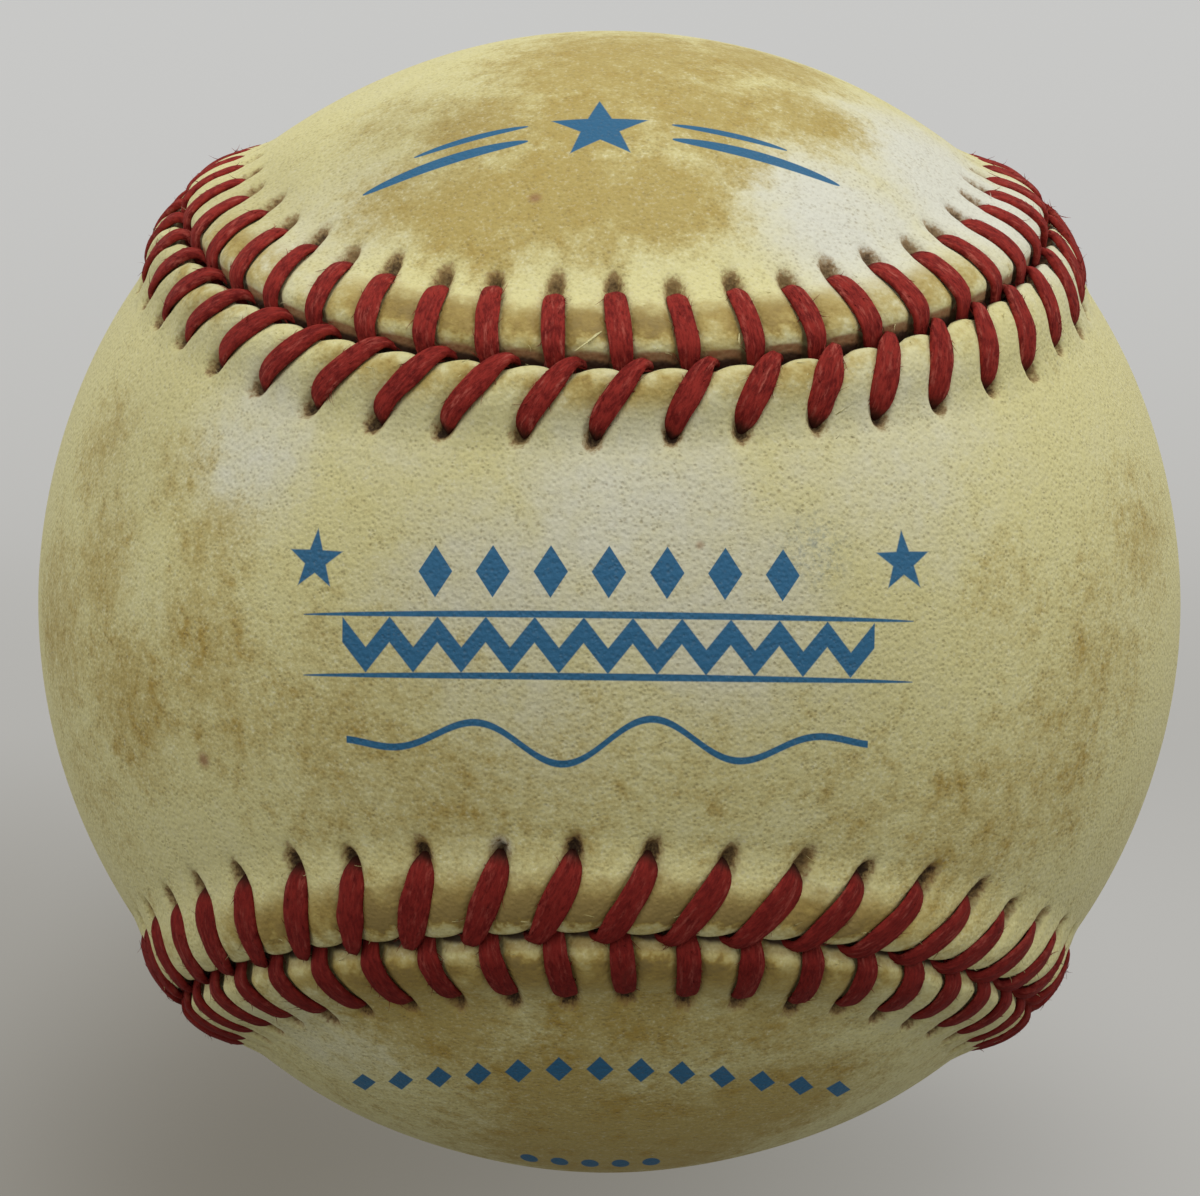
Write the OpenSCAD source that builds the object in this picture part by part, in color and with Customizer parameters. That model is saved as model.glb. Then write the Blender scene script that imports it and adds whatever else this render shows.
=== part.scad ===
// Hand-sewn leather ball, built from its core outwards.
// A cork core sits in two black and two red rubber shells, four windings of
// yarn cover them, and two leather panels are sewn over the windings with one
// thread that runs in two halves from its middle.
// The origin is the ball's centre. The front panel's waist faces -Y, and the
// back panel is the same panel turned a quarter turn about Y and mirrored.

/* [Core] */
// Diameter of the cork and rubber core
core_d = 20.64; // [16:0.01:24]
// Thickness of the black rubber shell
black_rubber_t = 3.97; // [2:0.01:6]
// Thickness of each of the two washers between the black halves
washer_t = 0.8; // [0.4:0.1:1.6]
// Thickness of the red rubber shell
red_rubber_t = 2.38; // [1:0.01:4]

/* [Windings] */
// Depth of the four-ply grey wool winding
grey_four_ply_t = 14.62; // [10:0.01:18]
// Depth of the three-ply white wool winding
white_three_ply_t = 1.74; // [1:0.01:4]
// Depth of the three-ply grey wool winding
grey_three_ply_t = 2.24; // [1:0.01:4]
// Depth of the fine cotton finishing winding
cotton_t = 0.48; // [0.3:0.01:1.5]
// Clearance between one layer and the next
layer_gap = 0.03; // [0.01:0.01:0.08]

/* [Cover] */
// Thickness of the leather
leather_t = 1.1; // [0.9:0.05:1.4]
// Distance over the ball between the seams at a panel's waist
waist_w = 31.4; // [27:0.1:36]
// Width of the gap between the two panels
seam_gap = 1.2; // [1.1:0.05:1.6]
// Height of the raised seam over the rest of the cover
seam_rise = 0.75; // [0.6:0.05:1]
// Width of the raised border on each side of the seam
border_w = 6.8; // [6:0.1:8]

/* [Stitches] */
// Number of stitches along each panel's edge
stitch_count = 108; // [92:4:120]
// Distance of the holes from the middle of the seam
hole_reach = 4.9; // [4.2:0.1:5.4]
// Diameter of a stitch hole
hole_d = 1.1; // [1:0.05:1.3]
// Width of the flattened thread where it lies on the leather
thread_w = 1.3; // [0.9:0.05:1.4]
// Thickness of the thread
thread_t = 0.6; // [0.4:0.02:0.64]
// Diameter of the groove that a stitch presses into the leather
groove_d = 1.6; // [1.5:0.05:1.8]

/* [Hidden] */

// Radii of the layers, from the core outwards.
core_r = core_d / 2;
black_in_r = core_r + layer_gap;
black_out_r = black_in_r + black_rubber_t;
red_in_r = black_out_r + layer_gap;
red_out_r = red_in_r + red_rubber_t;
grey_four_in_r = red_out_r + layer_gap;
grey_four_out_r = grey_four_in_r + grey_four_ply_t;
white_in_r = grey_four_out_r + layer_gap;
white_out_r = white_in_r + white_three_ply_t;
grey_three_in_r = white_out_r + layer_gap;
grey_three_out_r = grey_three_in_r + grey_three_ply_t;
cotton_in_r = grey_three_out_r + layer_gap;
cotton_out_r = cotton_in_r + cotton_t;
cover_in_r = cotton_out_r + layer_gap;
cover_r = cover_in_r + leather_t;

// How far a cutting shape runs past what it cuts.
overrun = 0.5;
// Facets of the round surfaces.
ball_fn = 128;
hole_fn = 24;

// The seam. It is a closed curve on the ball that repeats every quarter with
// its sides exchanged. fullness_share rounds the ends of the lobes.
fullness_share = -0.0223;
waist_slope = tan(waist_w / 2 / cover_r * 180 / PI);
waist_share = (2 * fullness_share
    + waist_slope * sqrt(1 + pow(waist_slope, 2) - 4 * pow(fullness_share, 2)))
    / (1 + pow(waist_slope, 2));
wide_share = (1 + waist_share) / 2;
narrow_share = (1 - waist_share) / 2;
depth_share = 2 * sqrt(wide_share * narrow_share);

function unit(v) = v / norm(v);

// Direction from the ball's centre to the seam, at an angle t of its turn.
function seam_dir(t) =
    let (across = (wide_share - fullness_share) * cos(t)
            + narrow_share * cos(3 * t) + fullness_share * cos(5 * t),
        along = (wide_share - fullness_share) * sin(t)
            - narrow_share * sin(3 * t) + fullness_share * sin(5 * t),
        depth = depth_share * sin(2 * t))
    unit([(across + along) / sqrt(2), depth, (across - along) / sqrt(2)]);

// Direction in which the seam runs at t.
tangent_step = 0.05;
function seam_run(t) = unit(seam_dir(t + tangent_step) - seam_dir(t - tangent_step));

// Direction over the ball from the seam at t into the front panel.
function seam_in(t) = unit(cross(seam_run(t), seam_dir(t)));

// Direction to a point that lies a distance d over the ball from the seam,
// into the front panel where d is positive and the back panel where negative.
function beside(t, d) =
    let (turn = d / cover_r * 180 / PI)
    seam_dir(t) * cos(turn) + seam_in(t) * sin(turn);

// Length of the seam up to each of a row of angles, as pairs of length and angle.
seam_samples = 360;
seam_table = [
    for (i = 0, t = 0, run = 0;
        i <= seam_samples;
        i = i + 1,
        t = 360 * i / seam_samples,
        run = run + cover_r * norm(seam_dir(t) - seam_dir(t - 360 / seam_samples)))
    [run, t]
];
seam_len = seam_table[seam_samples][0];
pitch = seam_len / stitch_count;

// Angle of the seam at a length s along it.
function seam_angle(s) =
    let (whole = floor(s / seam_len))
    lookup(s - whole * seam_len, seam_table) + 360 * whole;

// Point at a length s along the seam, d beside it and h above the cover.
function on_ball(s, d, h) = beside(seam_angle(s), d) * (cover_r + h);

// A wedge from the ball's centre out past its surface, over all of the front
// panel that lies more than inset from the seam.
wedge_steps = 72;
wedge_reach = 1.7 * cover_r;
module front_wedge(inset) {
    upper = [
        for (i = [0 : wedge_steps])
        beside(45 - 180 * i / wedge_steps, inset) * wedge_reach
    ];
    lower = [for (i = [1 : wedge_steps - 1]) [upper[i][0], upper[i][1], -upper[i][2]]];
    points = concat([[0, 0, 0]], upper, lower);
    up = function (i) 1 + i;
    low = function (i)
        (i == 0 || i == wedge_steps) ? 1 + i : 1 + wedge_steps + i;
    faces = [
        for (i = [0 : wedge_steps - 1])
        each [
            [0, up(i), up(i + 1)],
            [0, low(i + 1), low(i)],
            if (i > 0) [up(i), low(i), up(i + 1)],
            if (i < wedge_steps - 1) [up(i + 1), low(i), low(i + 1)],
        ]
    ];
    polyhedron(points, faces);
}

// A closed band along the whole seam. Each corner of its section is a distance
// into the front panel and a height above the cover.
band_steps = 108;
module seam_band(section) {
    n = len(section);
    points = [
        for (i = [0 : band_steps - 1])
        for (c = section)
        beside(360 * i / band_steps, c[0]) * (cover_r + c[1])
    ];
    faces = [
        for (i = [0 : band_steps - 1])
        for (j = [0 : n - 1])
        let (here = i * n,
            next = (i + 1) % band_steps * n,
            k = (j + 1) % n)
        each [
            [here + j, next + j, next + k],
            [here + j, next + k, here + k]
        ]
    ];
    polyhedron(points, faces);
}

// The raised border of both panels, and the channel under it in which the
// thread passes. Both sides of the seam share one section.
border_top_share = 0.5;
channel_w = hole_reach + hole_d;
module raised_border() {
    seam_band([
        [-border_w, -leather_t / 2],
        [-border_w * border_top_share, seam_rise],
        [0, seam_rise],
        [border_w * border_top_share, seam_rise],
        [border_w, -leather_t / 2]
    ]);
}

module thread_channel() {
    seam_band([
        [-channel_w, -leather_t - layer_gap / 2],
        [-hole_reach, seam_rise - leather_t],
        [-hole_reach / 2, seam_rise - leather_t],
        [hole_reach / 2, seam_rise - leather_t],
        [hole_reach, seam_rise - leather_t],
        [channel_w, -leather_t - layer_gap / 2]
    ]);
}

module shell(out_r, in_r) {
    difference() {
        sphere(r = out_r, $fn = ball_fn);
        sphere(r = in_r, $fn = ball_fn);
    }
}

// The part of what it is given that lies above or below a plane through the
// centre, lifted by a height.
module half(side, lift, reach) {
    intersection() {
        children();
        translate([-reach, -reach, side > 0 ? lift : -lift - reach])
            cube([2 * reach, 2 * reach, reach]);
    }
}

module black_half(side) {
    half(side, washer_t, black_out_r + overrun)
        shell(black_out_r, black_in_r);
}

module washer(side) {
    reach = black_out_r + overrun;
    intersection() {
        shell(black_out_r, black_in_r);
        translate([-reach, -reach, side > 0 ? 0 : -washer_t])
            cube([2 * reach, 2 * reach, washer_t]);
    }
}

module red_half(side) {
    rotate([0, 90, 0])
        half(side, 0, red_out_r + overrun)
        shell(red_out_r, red_in_r);
}

// The stitches. Number k leaves a hole in one panel, lies over that panel's
// border, drops into the gap and runs under the other panel to the next hole
// there. side is 1 on the front panel and -1 on the back panel. A hole lies
// behind its stitch's place by a lag, and the stitch reaches the gap ahead of
// it by a lead, both as shares of the pitch.
front_lag_share = 0.37;
front_lead_share = 0.32;
back_lag_share = 0.17;
back_lead_share = -0.04;
function lag(side) = pitch * (side > 0 ? front_lag_share : back_lag_share);
function lead(side) = pitch * (side > 0 ? front_lead_share : back_lead_share);
function stitch_at(k) = (k + 0.5) * pitch;
function hole_at(k, side) = stitch_at(k) - lag(side);
function foot_at(k, side) = stitch_at(k) + lead(side);

// Height of the middle of the thread where it is hidden and where it shows.
under_h = -leather_t + seam_rise / 2;
over_h = seam_rise + layer_gap;

module stitch_holes(side) {
    for (k = [0 : stitch_count - 1])
        let (s = hole_at(k, side),
            low = on_ball(s, side * hole_reach, -leather_t - overrun),
            high = on_ball(s, side * hole_reach, seam_rise + overrun))
        rod(low, high, hole_d);
}

module stitch_grooves(side) {
    for (k = [0 : stitch_count - 1])
        let (start = on_ball(hole_at(k, side), side * hole_reach, over_h),
            end = on_ball(foot_at(k, side), 0, over_h + thread_t / 4))
        rod(start, end, groove_d);
}

// A round rod from one point to another.
module rod(from, to, d) {
    v = to - from;
    translate(from)
        rotate([0, acos(v[2] / norm(v)), atan2(v[1], v[0])])
        cylinder(h = norm(v), d = d, $fn = hole_fn);
}

module cover_blank() {
    difference() {
        union() {
            shell(cover_r, cover_in_r);
            raised_border();
        }
        thread_channel();
    }
}

module cover_panel(side) {
    difference() {
        intersection() {
            cover_blank();
            if (side > 0)
                front_wedge(seam_gap / 2);
            else
                mirror([0, 1, 0])
                    rotate([0, 90, 0])
                    front_wedge(seam_gap / 2);
        }
        stitch_holes(side);
        stitch_grooves(side);
    }
}

// The thread. Each ring around it has a length along the seam, a distance
// beside the seam, a height over the cover and a width.
thread_sides = 5;
round_w = thread_t * 1.25;
mid_leg_share = 0.6;
gap_lip = seam_gap / 2 + thread_t / 4;

function ring(s, d, h, w) = [s, d, h, w];

// Rings of stitch k on one side: up through its hole, over the border and down
// the gap.
function stitch_rings(k, side) =
    let (a = hole_at(k, side),
        b = foot_at(k, side),
        between = function (share) a + (b - a) * (1 - share))
    [
        ring(a, side * hole_reach, under_h, round_w),
        ring(a, side * hole_reach, (over_h + under_h) / 2 + thread_t / 2, round_w),
        ring(between(mid_leg_share), side * hole_reach * mid_leg_share, over_h, thread_w),
        ring(between(gap_lip / hole_reach), side * gap_lip, over_h, thread_w * 0.9),
        ring(b, 0, (over_h + under_h) / 2, round_w),
        ring(b, -side * thread_t / 4, under_h, round_w)
    ];

// Where the two halves of the thread meet, and where each half ends.
meet_share = 0.35;
end_share = 0.25;
meet_at = stitch_at(0) - meet_share * pitch;

// All rings of one half. first is the side of its first stitch.
function half_rings(first) =
    concat(
        [ring(meet_at, 0, under_h - layer_gap, round_w)],
        [
            for (k = [0 : stitch_count - 1])
            each stitch_rings(k, k % 2 == 0 ? first : -first)
        ],
        [tail_ring(first)]
    );

function tail_ring(first) =
    let (last = stitch_count - 1,
        side = last % 2 == 0 ? first : -first,
        a = foot_at(last, side),
        b = hole_at(last + 1, -side))
    ring(
        a + (b - a) * end_share,
        -side * hole_reach * end_share,
        under_h - 2 * layer_gap,
        round_w / 2
    );

// Direction from the point before number i to number i.
function step_dir(points, i) = unit(points[i] - points[i - 1]);

module thread_half(first) {
    rings = half_rings(first);
    last = len(rings) - 1;
    middle = [for (r = rings) on_ball(r[0], r[1], r[2])];
    corners = [
        for (i = [0 : last])
        let (run = unit(step_dir(middle, min(i + 1, last)) + step_dir(middle, max(i, 1))),
            along = seam_run(seam_angle(rings[i][0])),
            wide = i == 0 ? along : unit(along - run * (along * run)),
            thick = i == 0 ? unit(middle[i]) * -first : cross(run, wide))
        for (j = [0 : thread_sides - 1])
        middle[i]
            + wide * rings[i][3] / 2 * cos(360 * j / thread_sides)
            + thick * thread_t / 2 * sin(360 * j / thread_sides)
    ];
    n = thread_sides;
    faces = concat(
        [[for (j = [n - 1 : -1 : 0]) last * n + j], [for (j = [0 : n - 1]) j]],
        [
            for (i = [0 : last - 1])
            for (j = [0 : n - 1])
            let (k = (j + 1) % n)
            each [
                [i * n + j, (i + 1) * n + k, i * n + k],
                [i * n + j, (i + 1) * n + j, (i + 1) * n + k]
            ]
        ]
    );
    polyhedron(corners, faces);
}

module cork_core() {
    color([0.62, 0.45, 0.30])
        sphere(d = core_d, $fn = ball_fn);
}

module black_rubber_half_lower() {
    color([0.10, 0.10, 0.11])
        black_half(-1);
}

module black_rubber_half_upper() {
    color([0.10, 0.10, 0.11])
        black_half(1);
}

module rubber_washer_lower() {
    color([0.60, 0.13, 0.10])
        washer(-1);
}

module rubber_washer_upper() {
    color([0.60, 0.13, 0.10])
        washer(1);
}

module red_rubber_half_left() {
    color([0.66, 0.16, 0.12])
        red_half(-1);
}

module red_rubber_half_right() {
    color([0.66, 0.16, 0.12])
        red_half(1);
}

module grey_four_ply_winding() {
    color([0.50, 0.49, 0.47])
        shell(grey_four_out_r, grey_four_in_r);
}

module white_three_ply_winding() {
    color([0.86, 0.84, 0.78])
        shell(white_out_r, white_in_r);
}

module grey_three_ply_winding() {
    color([0.55, 0.54, 0.52])
        shell(grey_three_out_r, grey_three_in_r);
}

module cotton_finish_winding() {
    color([0.92, 0.91, 0.87])
        shell(cotton_out_r, cotton_in_r);
}

module front_cover_panel() {
    color([0.80, 0.76, 0.60])
        cover_panel(1);
}

module back_cover_panel() {
    color([0.80, 0.76, 0.60])
        cover_panel(-1);
}

module thread_first_half() {
    color([0.58, 0.11, 0.12])
        thread_half(1);
}

module thread_second_half() {
    color([0.58, 0.11, 0.12])
        thread_half(-1);
}

cork_core();
black_rubber_half_lower();
black_rubber_half_upper();
rubber_washer_lower();
rubber_washer_upper();
red_rubber_half_left();
red_rubber_half_right();
grey_four_ply_winding();
white_three_ply_winding();
grey_three_ply_winding();
cotton_finish_winding();
front_cover_panel();
back_cover_panel();
thread_first_half();
thread_second_half();
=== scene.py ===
"""Dresses the hand-sewn leather ball over its CAD frame.

The two cover panels and the two halves of the stitching thread are modelled
here in full. The core, the rubber shells and the windings keep their CAD
shapes and get their materials.
"""

import math
from functools import reduce

import bpy
import numpy as np
from bpy.props import FloatProperty, FloatVectorProperty, IntProperty, PointerProperty
from bpy.types import Operator, Panel, PropertyGroup
from mathutils import Matrix, Vector
from mathutils.geometry import delaunay_2d_cdt


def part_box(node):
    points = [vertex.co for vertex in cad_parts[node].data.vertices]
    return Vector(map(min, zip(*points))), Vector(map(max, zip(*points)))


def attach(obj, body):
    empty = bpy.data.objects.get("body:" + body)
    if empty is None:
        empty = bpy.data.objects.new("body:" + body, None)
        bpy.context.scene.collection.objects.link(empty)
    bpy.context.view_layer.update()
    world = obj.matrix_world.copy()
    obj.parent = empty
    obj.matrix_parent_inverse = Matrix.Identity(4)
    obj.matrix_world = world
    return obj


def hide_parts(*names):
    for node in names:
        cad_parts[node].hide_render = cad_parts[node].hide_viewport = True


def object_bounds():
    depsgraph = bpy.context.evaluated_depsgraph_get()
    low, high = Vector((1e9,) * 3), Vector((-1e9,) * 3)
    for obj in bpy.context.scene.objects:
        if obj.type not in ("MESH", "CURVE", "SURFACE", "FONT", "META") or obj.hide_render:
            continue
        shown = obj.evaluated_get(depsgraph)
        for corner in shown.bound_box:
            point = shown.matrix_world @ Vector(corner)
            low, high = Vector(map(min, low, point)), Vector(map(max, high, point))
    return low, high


bl_info = {
    "name": "Hand-Sewn Leather Ball",
    "version": (1, 0, 0),
    "blender": (4, 5, 0),
    "location": "3D View > Sidebar > Ball",
    "description": "Builds the sewn cover of a leather ball around its core",
    "category": "Add Mesh",
}

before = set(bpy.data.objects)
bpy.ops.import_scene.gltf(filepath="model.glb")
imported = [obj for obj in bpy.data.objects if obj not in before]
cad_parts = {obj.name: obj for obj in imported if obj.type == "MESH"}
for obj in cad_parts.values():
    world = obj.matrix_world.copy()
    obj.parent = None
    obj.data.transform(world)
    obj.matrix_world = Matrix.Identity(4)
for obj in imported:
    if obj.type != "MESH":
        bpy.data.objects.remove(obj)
CAD_BOX = [list(corner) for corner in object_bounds()]

# Metres in a millimetre. Shapes are worked out in millimetres.
MM = 0.001
# Radius of the smooth cover, from the panel's lobe that reaches furthest along X.
COVER_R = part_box("front_cover_panel")[1].x / MM
# Radius on which the cover lies.
WOUND_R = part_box("cotton_finish_winding")[1].x / MM

FRONT = 1
BACK = -1

# Sections of the raised border, as distance from the gap and height over the
# smooth cover. The back panel's cut edge slopes up from the gap to its fold.
BORDER_SECTIONS = {
    FRONT: (
        (-0.30, 0.20), (0.00, 0.52), (0.12, 0.72), (0.30, 0.88), (0.60, 1.00), (1.00, 1.06),
        (1.70, 1.07), (2.50, 0.99), (3.30, 0.80), (4.10, 0.55), (4.90, 0.32), (5.90, 0.11),
        (7.00, 0.0), (8.60, 0.0),
    ),
    BACK: (
        (-0.30, -0.30), (0.00, 0.05), (0.25, 0.38), (0.50, 0.66), (0.72, 0.91), (0.88, 1.06),
        (1.05, 1.13), (1.40, 1.17), (2.00, 1.15), (2.80, 1.03), (3.60, 0.82), (4.40, 0.56),
        (5.20, 0.32), (6.20, 0.11), (7.20, 0.0), (8.60, 0.0),
    ),
}
# Underside of both panels, over the thread that runs below them.
LINING_SECTION = (
    (-0.60, -0.30), (0.20, -0.25), (1.50, -0.05), (2.60, -0.10), (3.60, -0.28),
    (4.90, -0.38), (6.20, -1.08), (8.60, -1.10),
)
# Depth of the groove under a stitch, by distance from the gap.
GROOVE_SECTION = (
    (-0.60, 0.05), (0.30, 0.18), (1.20, 0.26), (3.00, 0.30), (4.60, 0.32), (5.60, 0.12),
    (6.60, 0.0), (8.60, 0.0),
)
# Width of each panel's bare cut edge, from the gap to the fold.
CUT_EDGE_W = {FRONT: 0.0, BACK: 0.90}

# The way of a visible stitch from its hole to the gap. Each row is a place
# along the seam in pitches, a distance from the gap, a height, half a width
# and half a thickness.
STITCH_WAYS = {
    FRONT: (
        (-0.385, 5.00, -0.80, 0.40, 0.30), (-0.380, 4.92, -0.35, 0.48, 0.28),
        (-0.368, 4.68, 0.08, 0.60, 0.26), (-0.325, 4.20, 0.46, 0.70, 0.24),
        (-0.255, 3.55, 0.74, 0.75, 0.23), (-0.165, 2.85, 0.95, 0.77, 0.23),
        (-0.075, 2.15, 1.07, 0.76, 0.23), (0.012, 1.45, 1.13, 0.73, 0.23),
        (0.092, 0.85, 1.14, 0.66, 0.24), (0.165, 0.38, 1.10, 0.56, 0.25),
        (0.235, 0.00, 0.98, 0.43, 0.25), (0.300, -0.22, 0.72, 0.33, 0.24),
        (0.370, -0.30, 0.36, 0.28, 0.22), (0.440, -0.34, -0.08, 0.25, 0.20),
    ),
    BACK: (
        (-0.180, 5.25, -0.80, 0.38, 0.30), (-0.178, 5.18, -0.35, 0.44, 0.28),
        (-0.172, 4.96, 0.12, 0.55, 0.25), (-0.158, 4.48, 0.48, 0.64, 0.24),
        (-0.138, 3.80, 0.76, 0.68, 0.23), (-0.115, 3.05, 1.02, 0.70, 0.23),
        (-0.092, 2.30, 1.18, 0.71, 0.23), (-0.070, 1.60, 1.24, 0.71, 0.23),
        (-0.052, 1.00, 1.18, 0.68, 0.23), (-0.036, 0.55, 0.90, 0.63, 0.23),
        (-0.022, 0.18, 0.50, 0.56, 0.23), (-0.008, -0.14, 0.14, 0.47, 0.24),
        (0.005, -0.34, -0.30, 0.40, 0.28), (0.020, -0.60, -0.68, 0.36, 0.30),
    ),
}
# How the thread runs on under the other panel, as shares of the way.
HIDDEN_SHARES = (0.16, 0.40, 0.65, 0.88)
HIDDEN_H = -0.74
HIDDEN_HALF_W = 0.36
HIDDEN_HALF_T = 0.30

# Rows of the panels' outer face and lining, as distances from the panel's edge.
FACE_ROWS = np.concatenate(
    [
        [0.0, 0.05, 0.12, 0.20],
        np.arange(0.29, 1.45, 0.10),
        np.arange(1.55, 6.3, 0.17),
        [6.6, 7.0, 7.6, 8.3],
    ]
)
LINING_ROWS = (0.0, 0.9, 2.0, 3.0, 3.8, 4.6, 5.3, 6.0, 6.8, 8.3)
BAND_W = 8.6
# Distance between the points of the face and of the lining beyond the band.
FACE_SPACING = 0.62
LINING_SPACING = 1.6
STEPS_PER_STITCH = 18
# Least thickness of the leather and least space under it.
LEAST_T = 0.20
LINING_SPACE = 0.01
# Leather fibres that stand up from one panel's sewn border, and the rows they stand on.
FIBRES = 420
FIBRE_ROWS = (0.3, 0.9, 1.1, 4.6)
# Torn slivers of leather: panel, both ends in the photograph and half a width.
SLIVERS = (
    (BACK, 601, 341, 577, 369, 0.11), (BACK, 592, 349, 585, 365, 0.06),
    (BACK, 735, 343, 730, 362, 0.07), (FRONT, 828, 421, 838, 416, 0.05),
)
# Marks of leather away from the seam: far from the gap, from a stitch and from a hole.
PLAIN = (20.0, 2.0, 9.0)
# Share of bare cut leather on the lining, which is past all of the cut edge.
LINED = 2.0

RINGS_PER_STEP = 2
THREAD_SIDES = 22
# Roundness of the thread's section. 1 is an ellipse and less is squarer.
THREAD_ROUND = 0.80
# Loose fibres on one half of the thread.
FUZZ = 2600
# Rings and sides of one fine fibre, and its half width from least to most.
HAIR_RINGS = (0.0, 0.35, 0.7, 1.0)
HAIR_SIDES = 3
HAIR_POINTS = len(HAIR_RINGS) * HAIR_SIDES
HAIR_HALF_W = (0.018, 0.034)

# Starts of the random draws. The panel's or the thread's side is added.
FIBRE_SEED = 53
FUZZ_SEED = 71
WAVER_SEED = 31
# Wave length in millimetres and seed of the cover's long and short unevenness.
LONG_WAVE = (17, 5)
SHORT_WAVE = (4.0, 11)


def smooth(section, at):
    """The smooth curve through a section's corners, read at some places. It never swings
    past a corner."""
    x, y = np.array(section, float).T
    rise = np.diff(y) / np.diff(x)
    turns = rise[1:] * rise[:-1] <= 0
    mean = 2 * rise[1:] * rise[:-1] / np.where(turns, 1, rise[1:] + rise[:-1])
    slope = np.concatenate([rise[:1], np.where(turns, 0, mean), rise[-1:]])
    at = np.clip(at, x[0], x[-1])
    i = np.clip(np.searchsorted(x, at, side="right") - 1, 0, len(x) - 2)
    step = x[i + 1] - x[i]
    t = (at - x[i]) / step
    return (
        y[i] * (1 + 2 * t) * (1 - t) ** 2
        + slope[i] * step * t * (1 - t) ** 2
        + y[i + 1] * t**2 * (3 - 2 * t)
        - slope[i + 1] * step * t**2 * (1 - t)
    )


def ease(low, high, value):
    """0 below low, 1 above high and a smooth step between."""
    t = np.clip((value - low) / (high - low), 0, 1)
    return t * t * (3 - 2 * t)


def swell(value, middle, width, power=2):
    """1 where value is at a middle, falling to nothing beside it."""
    return np.exp(-(((value - middle) / width) ** power))


def unit(v):
    return v / np.linalg.norm(v, axis=-1, keepdims=True)


def ripple(points, wave, seed, count=9):
    """A gentle unevenness of about -1 to 1 over points, of a wave length in millimetres."""
    draw = np.random.default_rng(seed)
    ways = unit(draw.normal(size=(count, 3))) * draw.uniform(0.7, 1.5, (count, 1))
    shifts = draw.uniform(0, 2 * math.pi, count)
    waves = np.cos(points @ ways.T * (2 * math.pi / wave) + shifts)
    return waves.sum(axis=-1) / math.sqrt(count)


class Seam:
    """The closed curve along which the panels meet, in millimetres on the ball."""

    SAMPLES = 4320
    # Points that are looked up at a time.
    BATCH = 2000
    # Rounds the ends of the lobes a little.
    FULLNESS = -0.0223

    def __init__(self, radius, waist, stitches):
        self.radius = radius
        self.stitches = stitches
        slope, full = math.tan(waist / 2 / radius), self.FULLNESS
        lean = 2 * full + slope * math.sqrt(1 + slope**2 - 4 * full**2)
        share = lean / (1 + slope**2)
        self.wide = (1 + share) / 2
        self.narrow = (1 - share) / 2
        self.depth = 2 * math.sqrt(self.wide * self.narrow)
        self.angles = np.linspace(0, 2 * math.pi, self.SAMPLES + 1)
        self.samples = self.direction(self.angles)
        steps = np.linalg.norm(np.diff(self.samples, axis=0), axis=1) * radius
        self.lengths = np.concatenate(([0.0], np.cumsum(steps)))
        self.length = self.lengths[-1]
        self.pitch = self.length / stitches

    def direction(self, t):
        full, wide = self.FULLNESS, self.wide - self.FULLNESS
        across = wide * np.cos(t) + self.narrow * np.cos(3 * t) + full * np.cos(5 * t)
        along = wide * np.sin(t) - self.narrow * np.sin(3 * t) + full * np.sin(5 * t)
        depth = self.depth * np.sin(2 * t)
        half = math.sqrt(0.5)
        return unit(np.stack([(across + along) * half, depth, (across - along) * half], -1))

    def frame(self, s):
        """Directions out of the ball, along the seam and into the front panel."""
        t = np.interp(s % self.length, self.lengths, self.angles)
        out = self.direction(t)
        run = unit(self.direction(t + 1e-3) - self.direction(t - 1e-3))
        return out, run, unit(np.cross(run, out))

    def point(self, s, d, h):
        """The point s along the seam, d into the front panel and h over the cover."""
        out, _, inward = self.frame(s)
        turn = (d / self.radius)[..., None]
        way = out * np.cos(turn) + inward * np.sin(turn)
        return way * (self.radius + h)[..., None]

    def distance(self, points):
        """Distance of points over the ball from the seam, positive on the front panel."""
        ways = unit(points)
        found = np.empty(len(ways))
        for start in range(0, len(ways), self.BATCH):
            part = ways[start : start + self.BATCH]
            dots = part @ self.samples[:-1].T
            _, _, inward = self.frame(self.lengths[np.argmax(dots, axis=1)])
            side = np.where(np.einsum("ik,ik->i", part, inward) >= 0, FRONT, BACK)
            angle = np.arccos(np.clip(dots.max(axis=1), -1, 1))
            found[start : start + self.BATCH] = angle * self.radius * side
        return found


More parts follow.
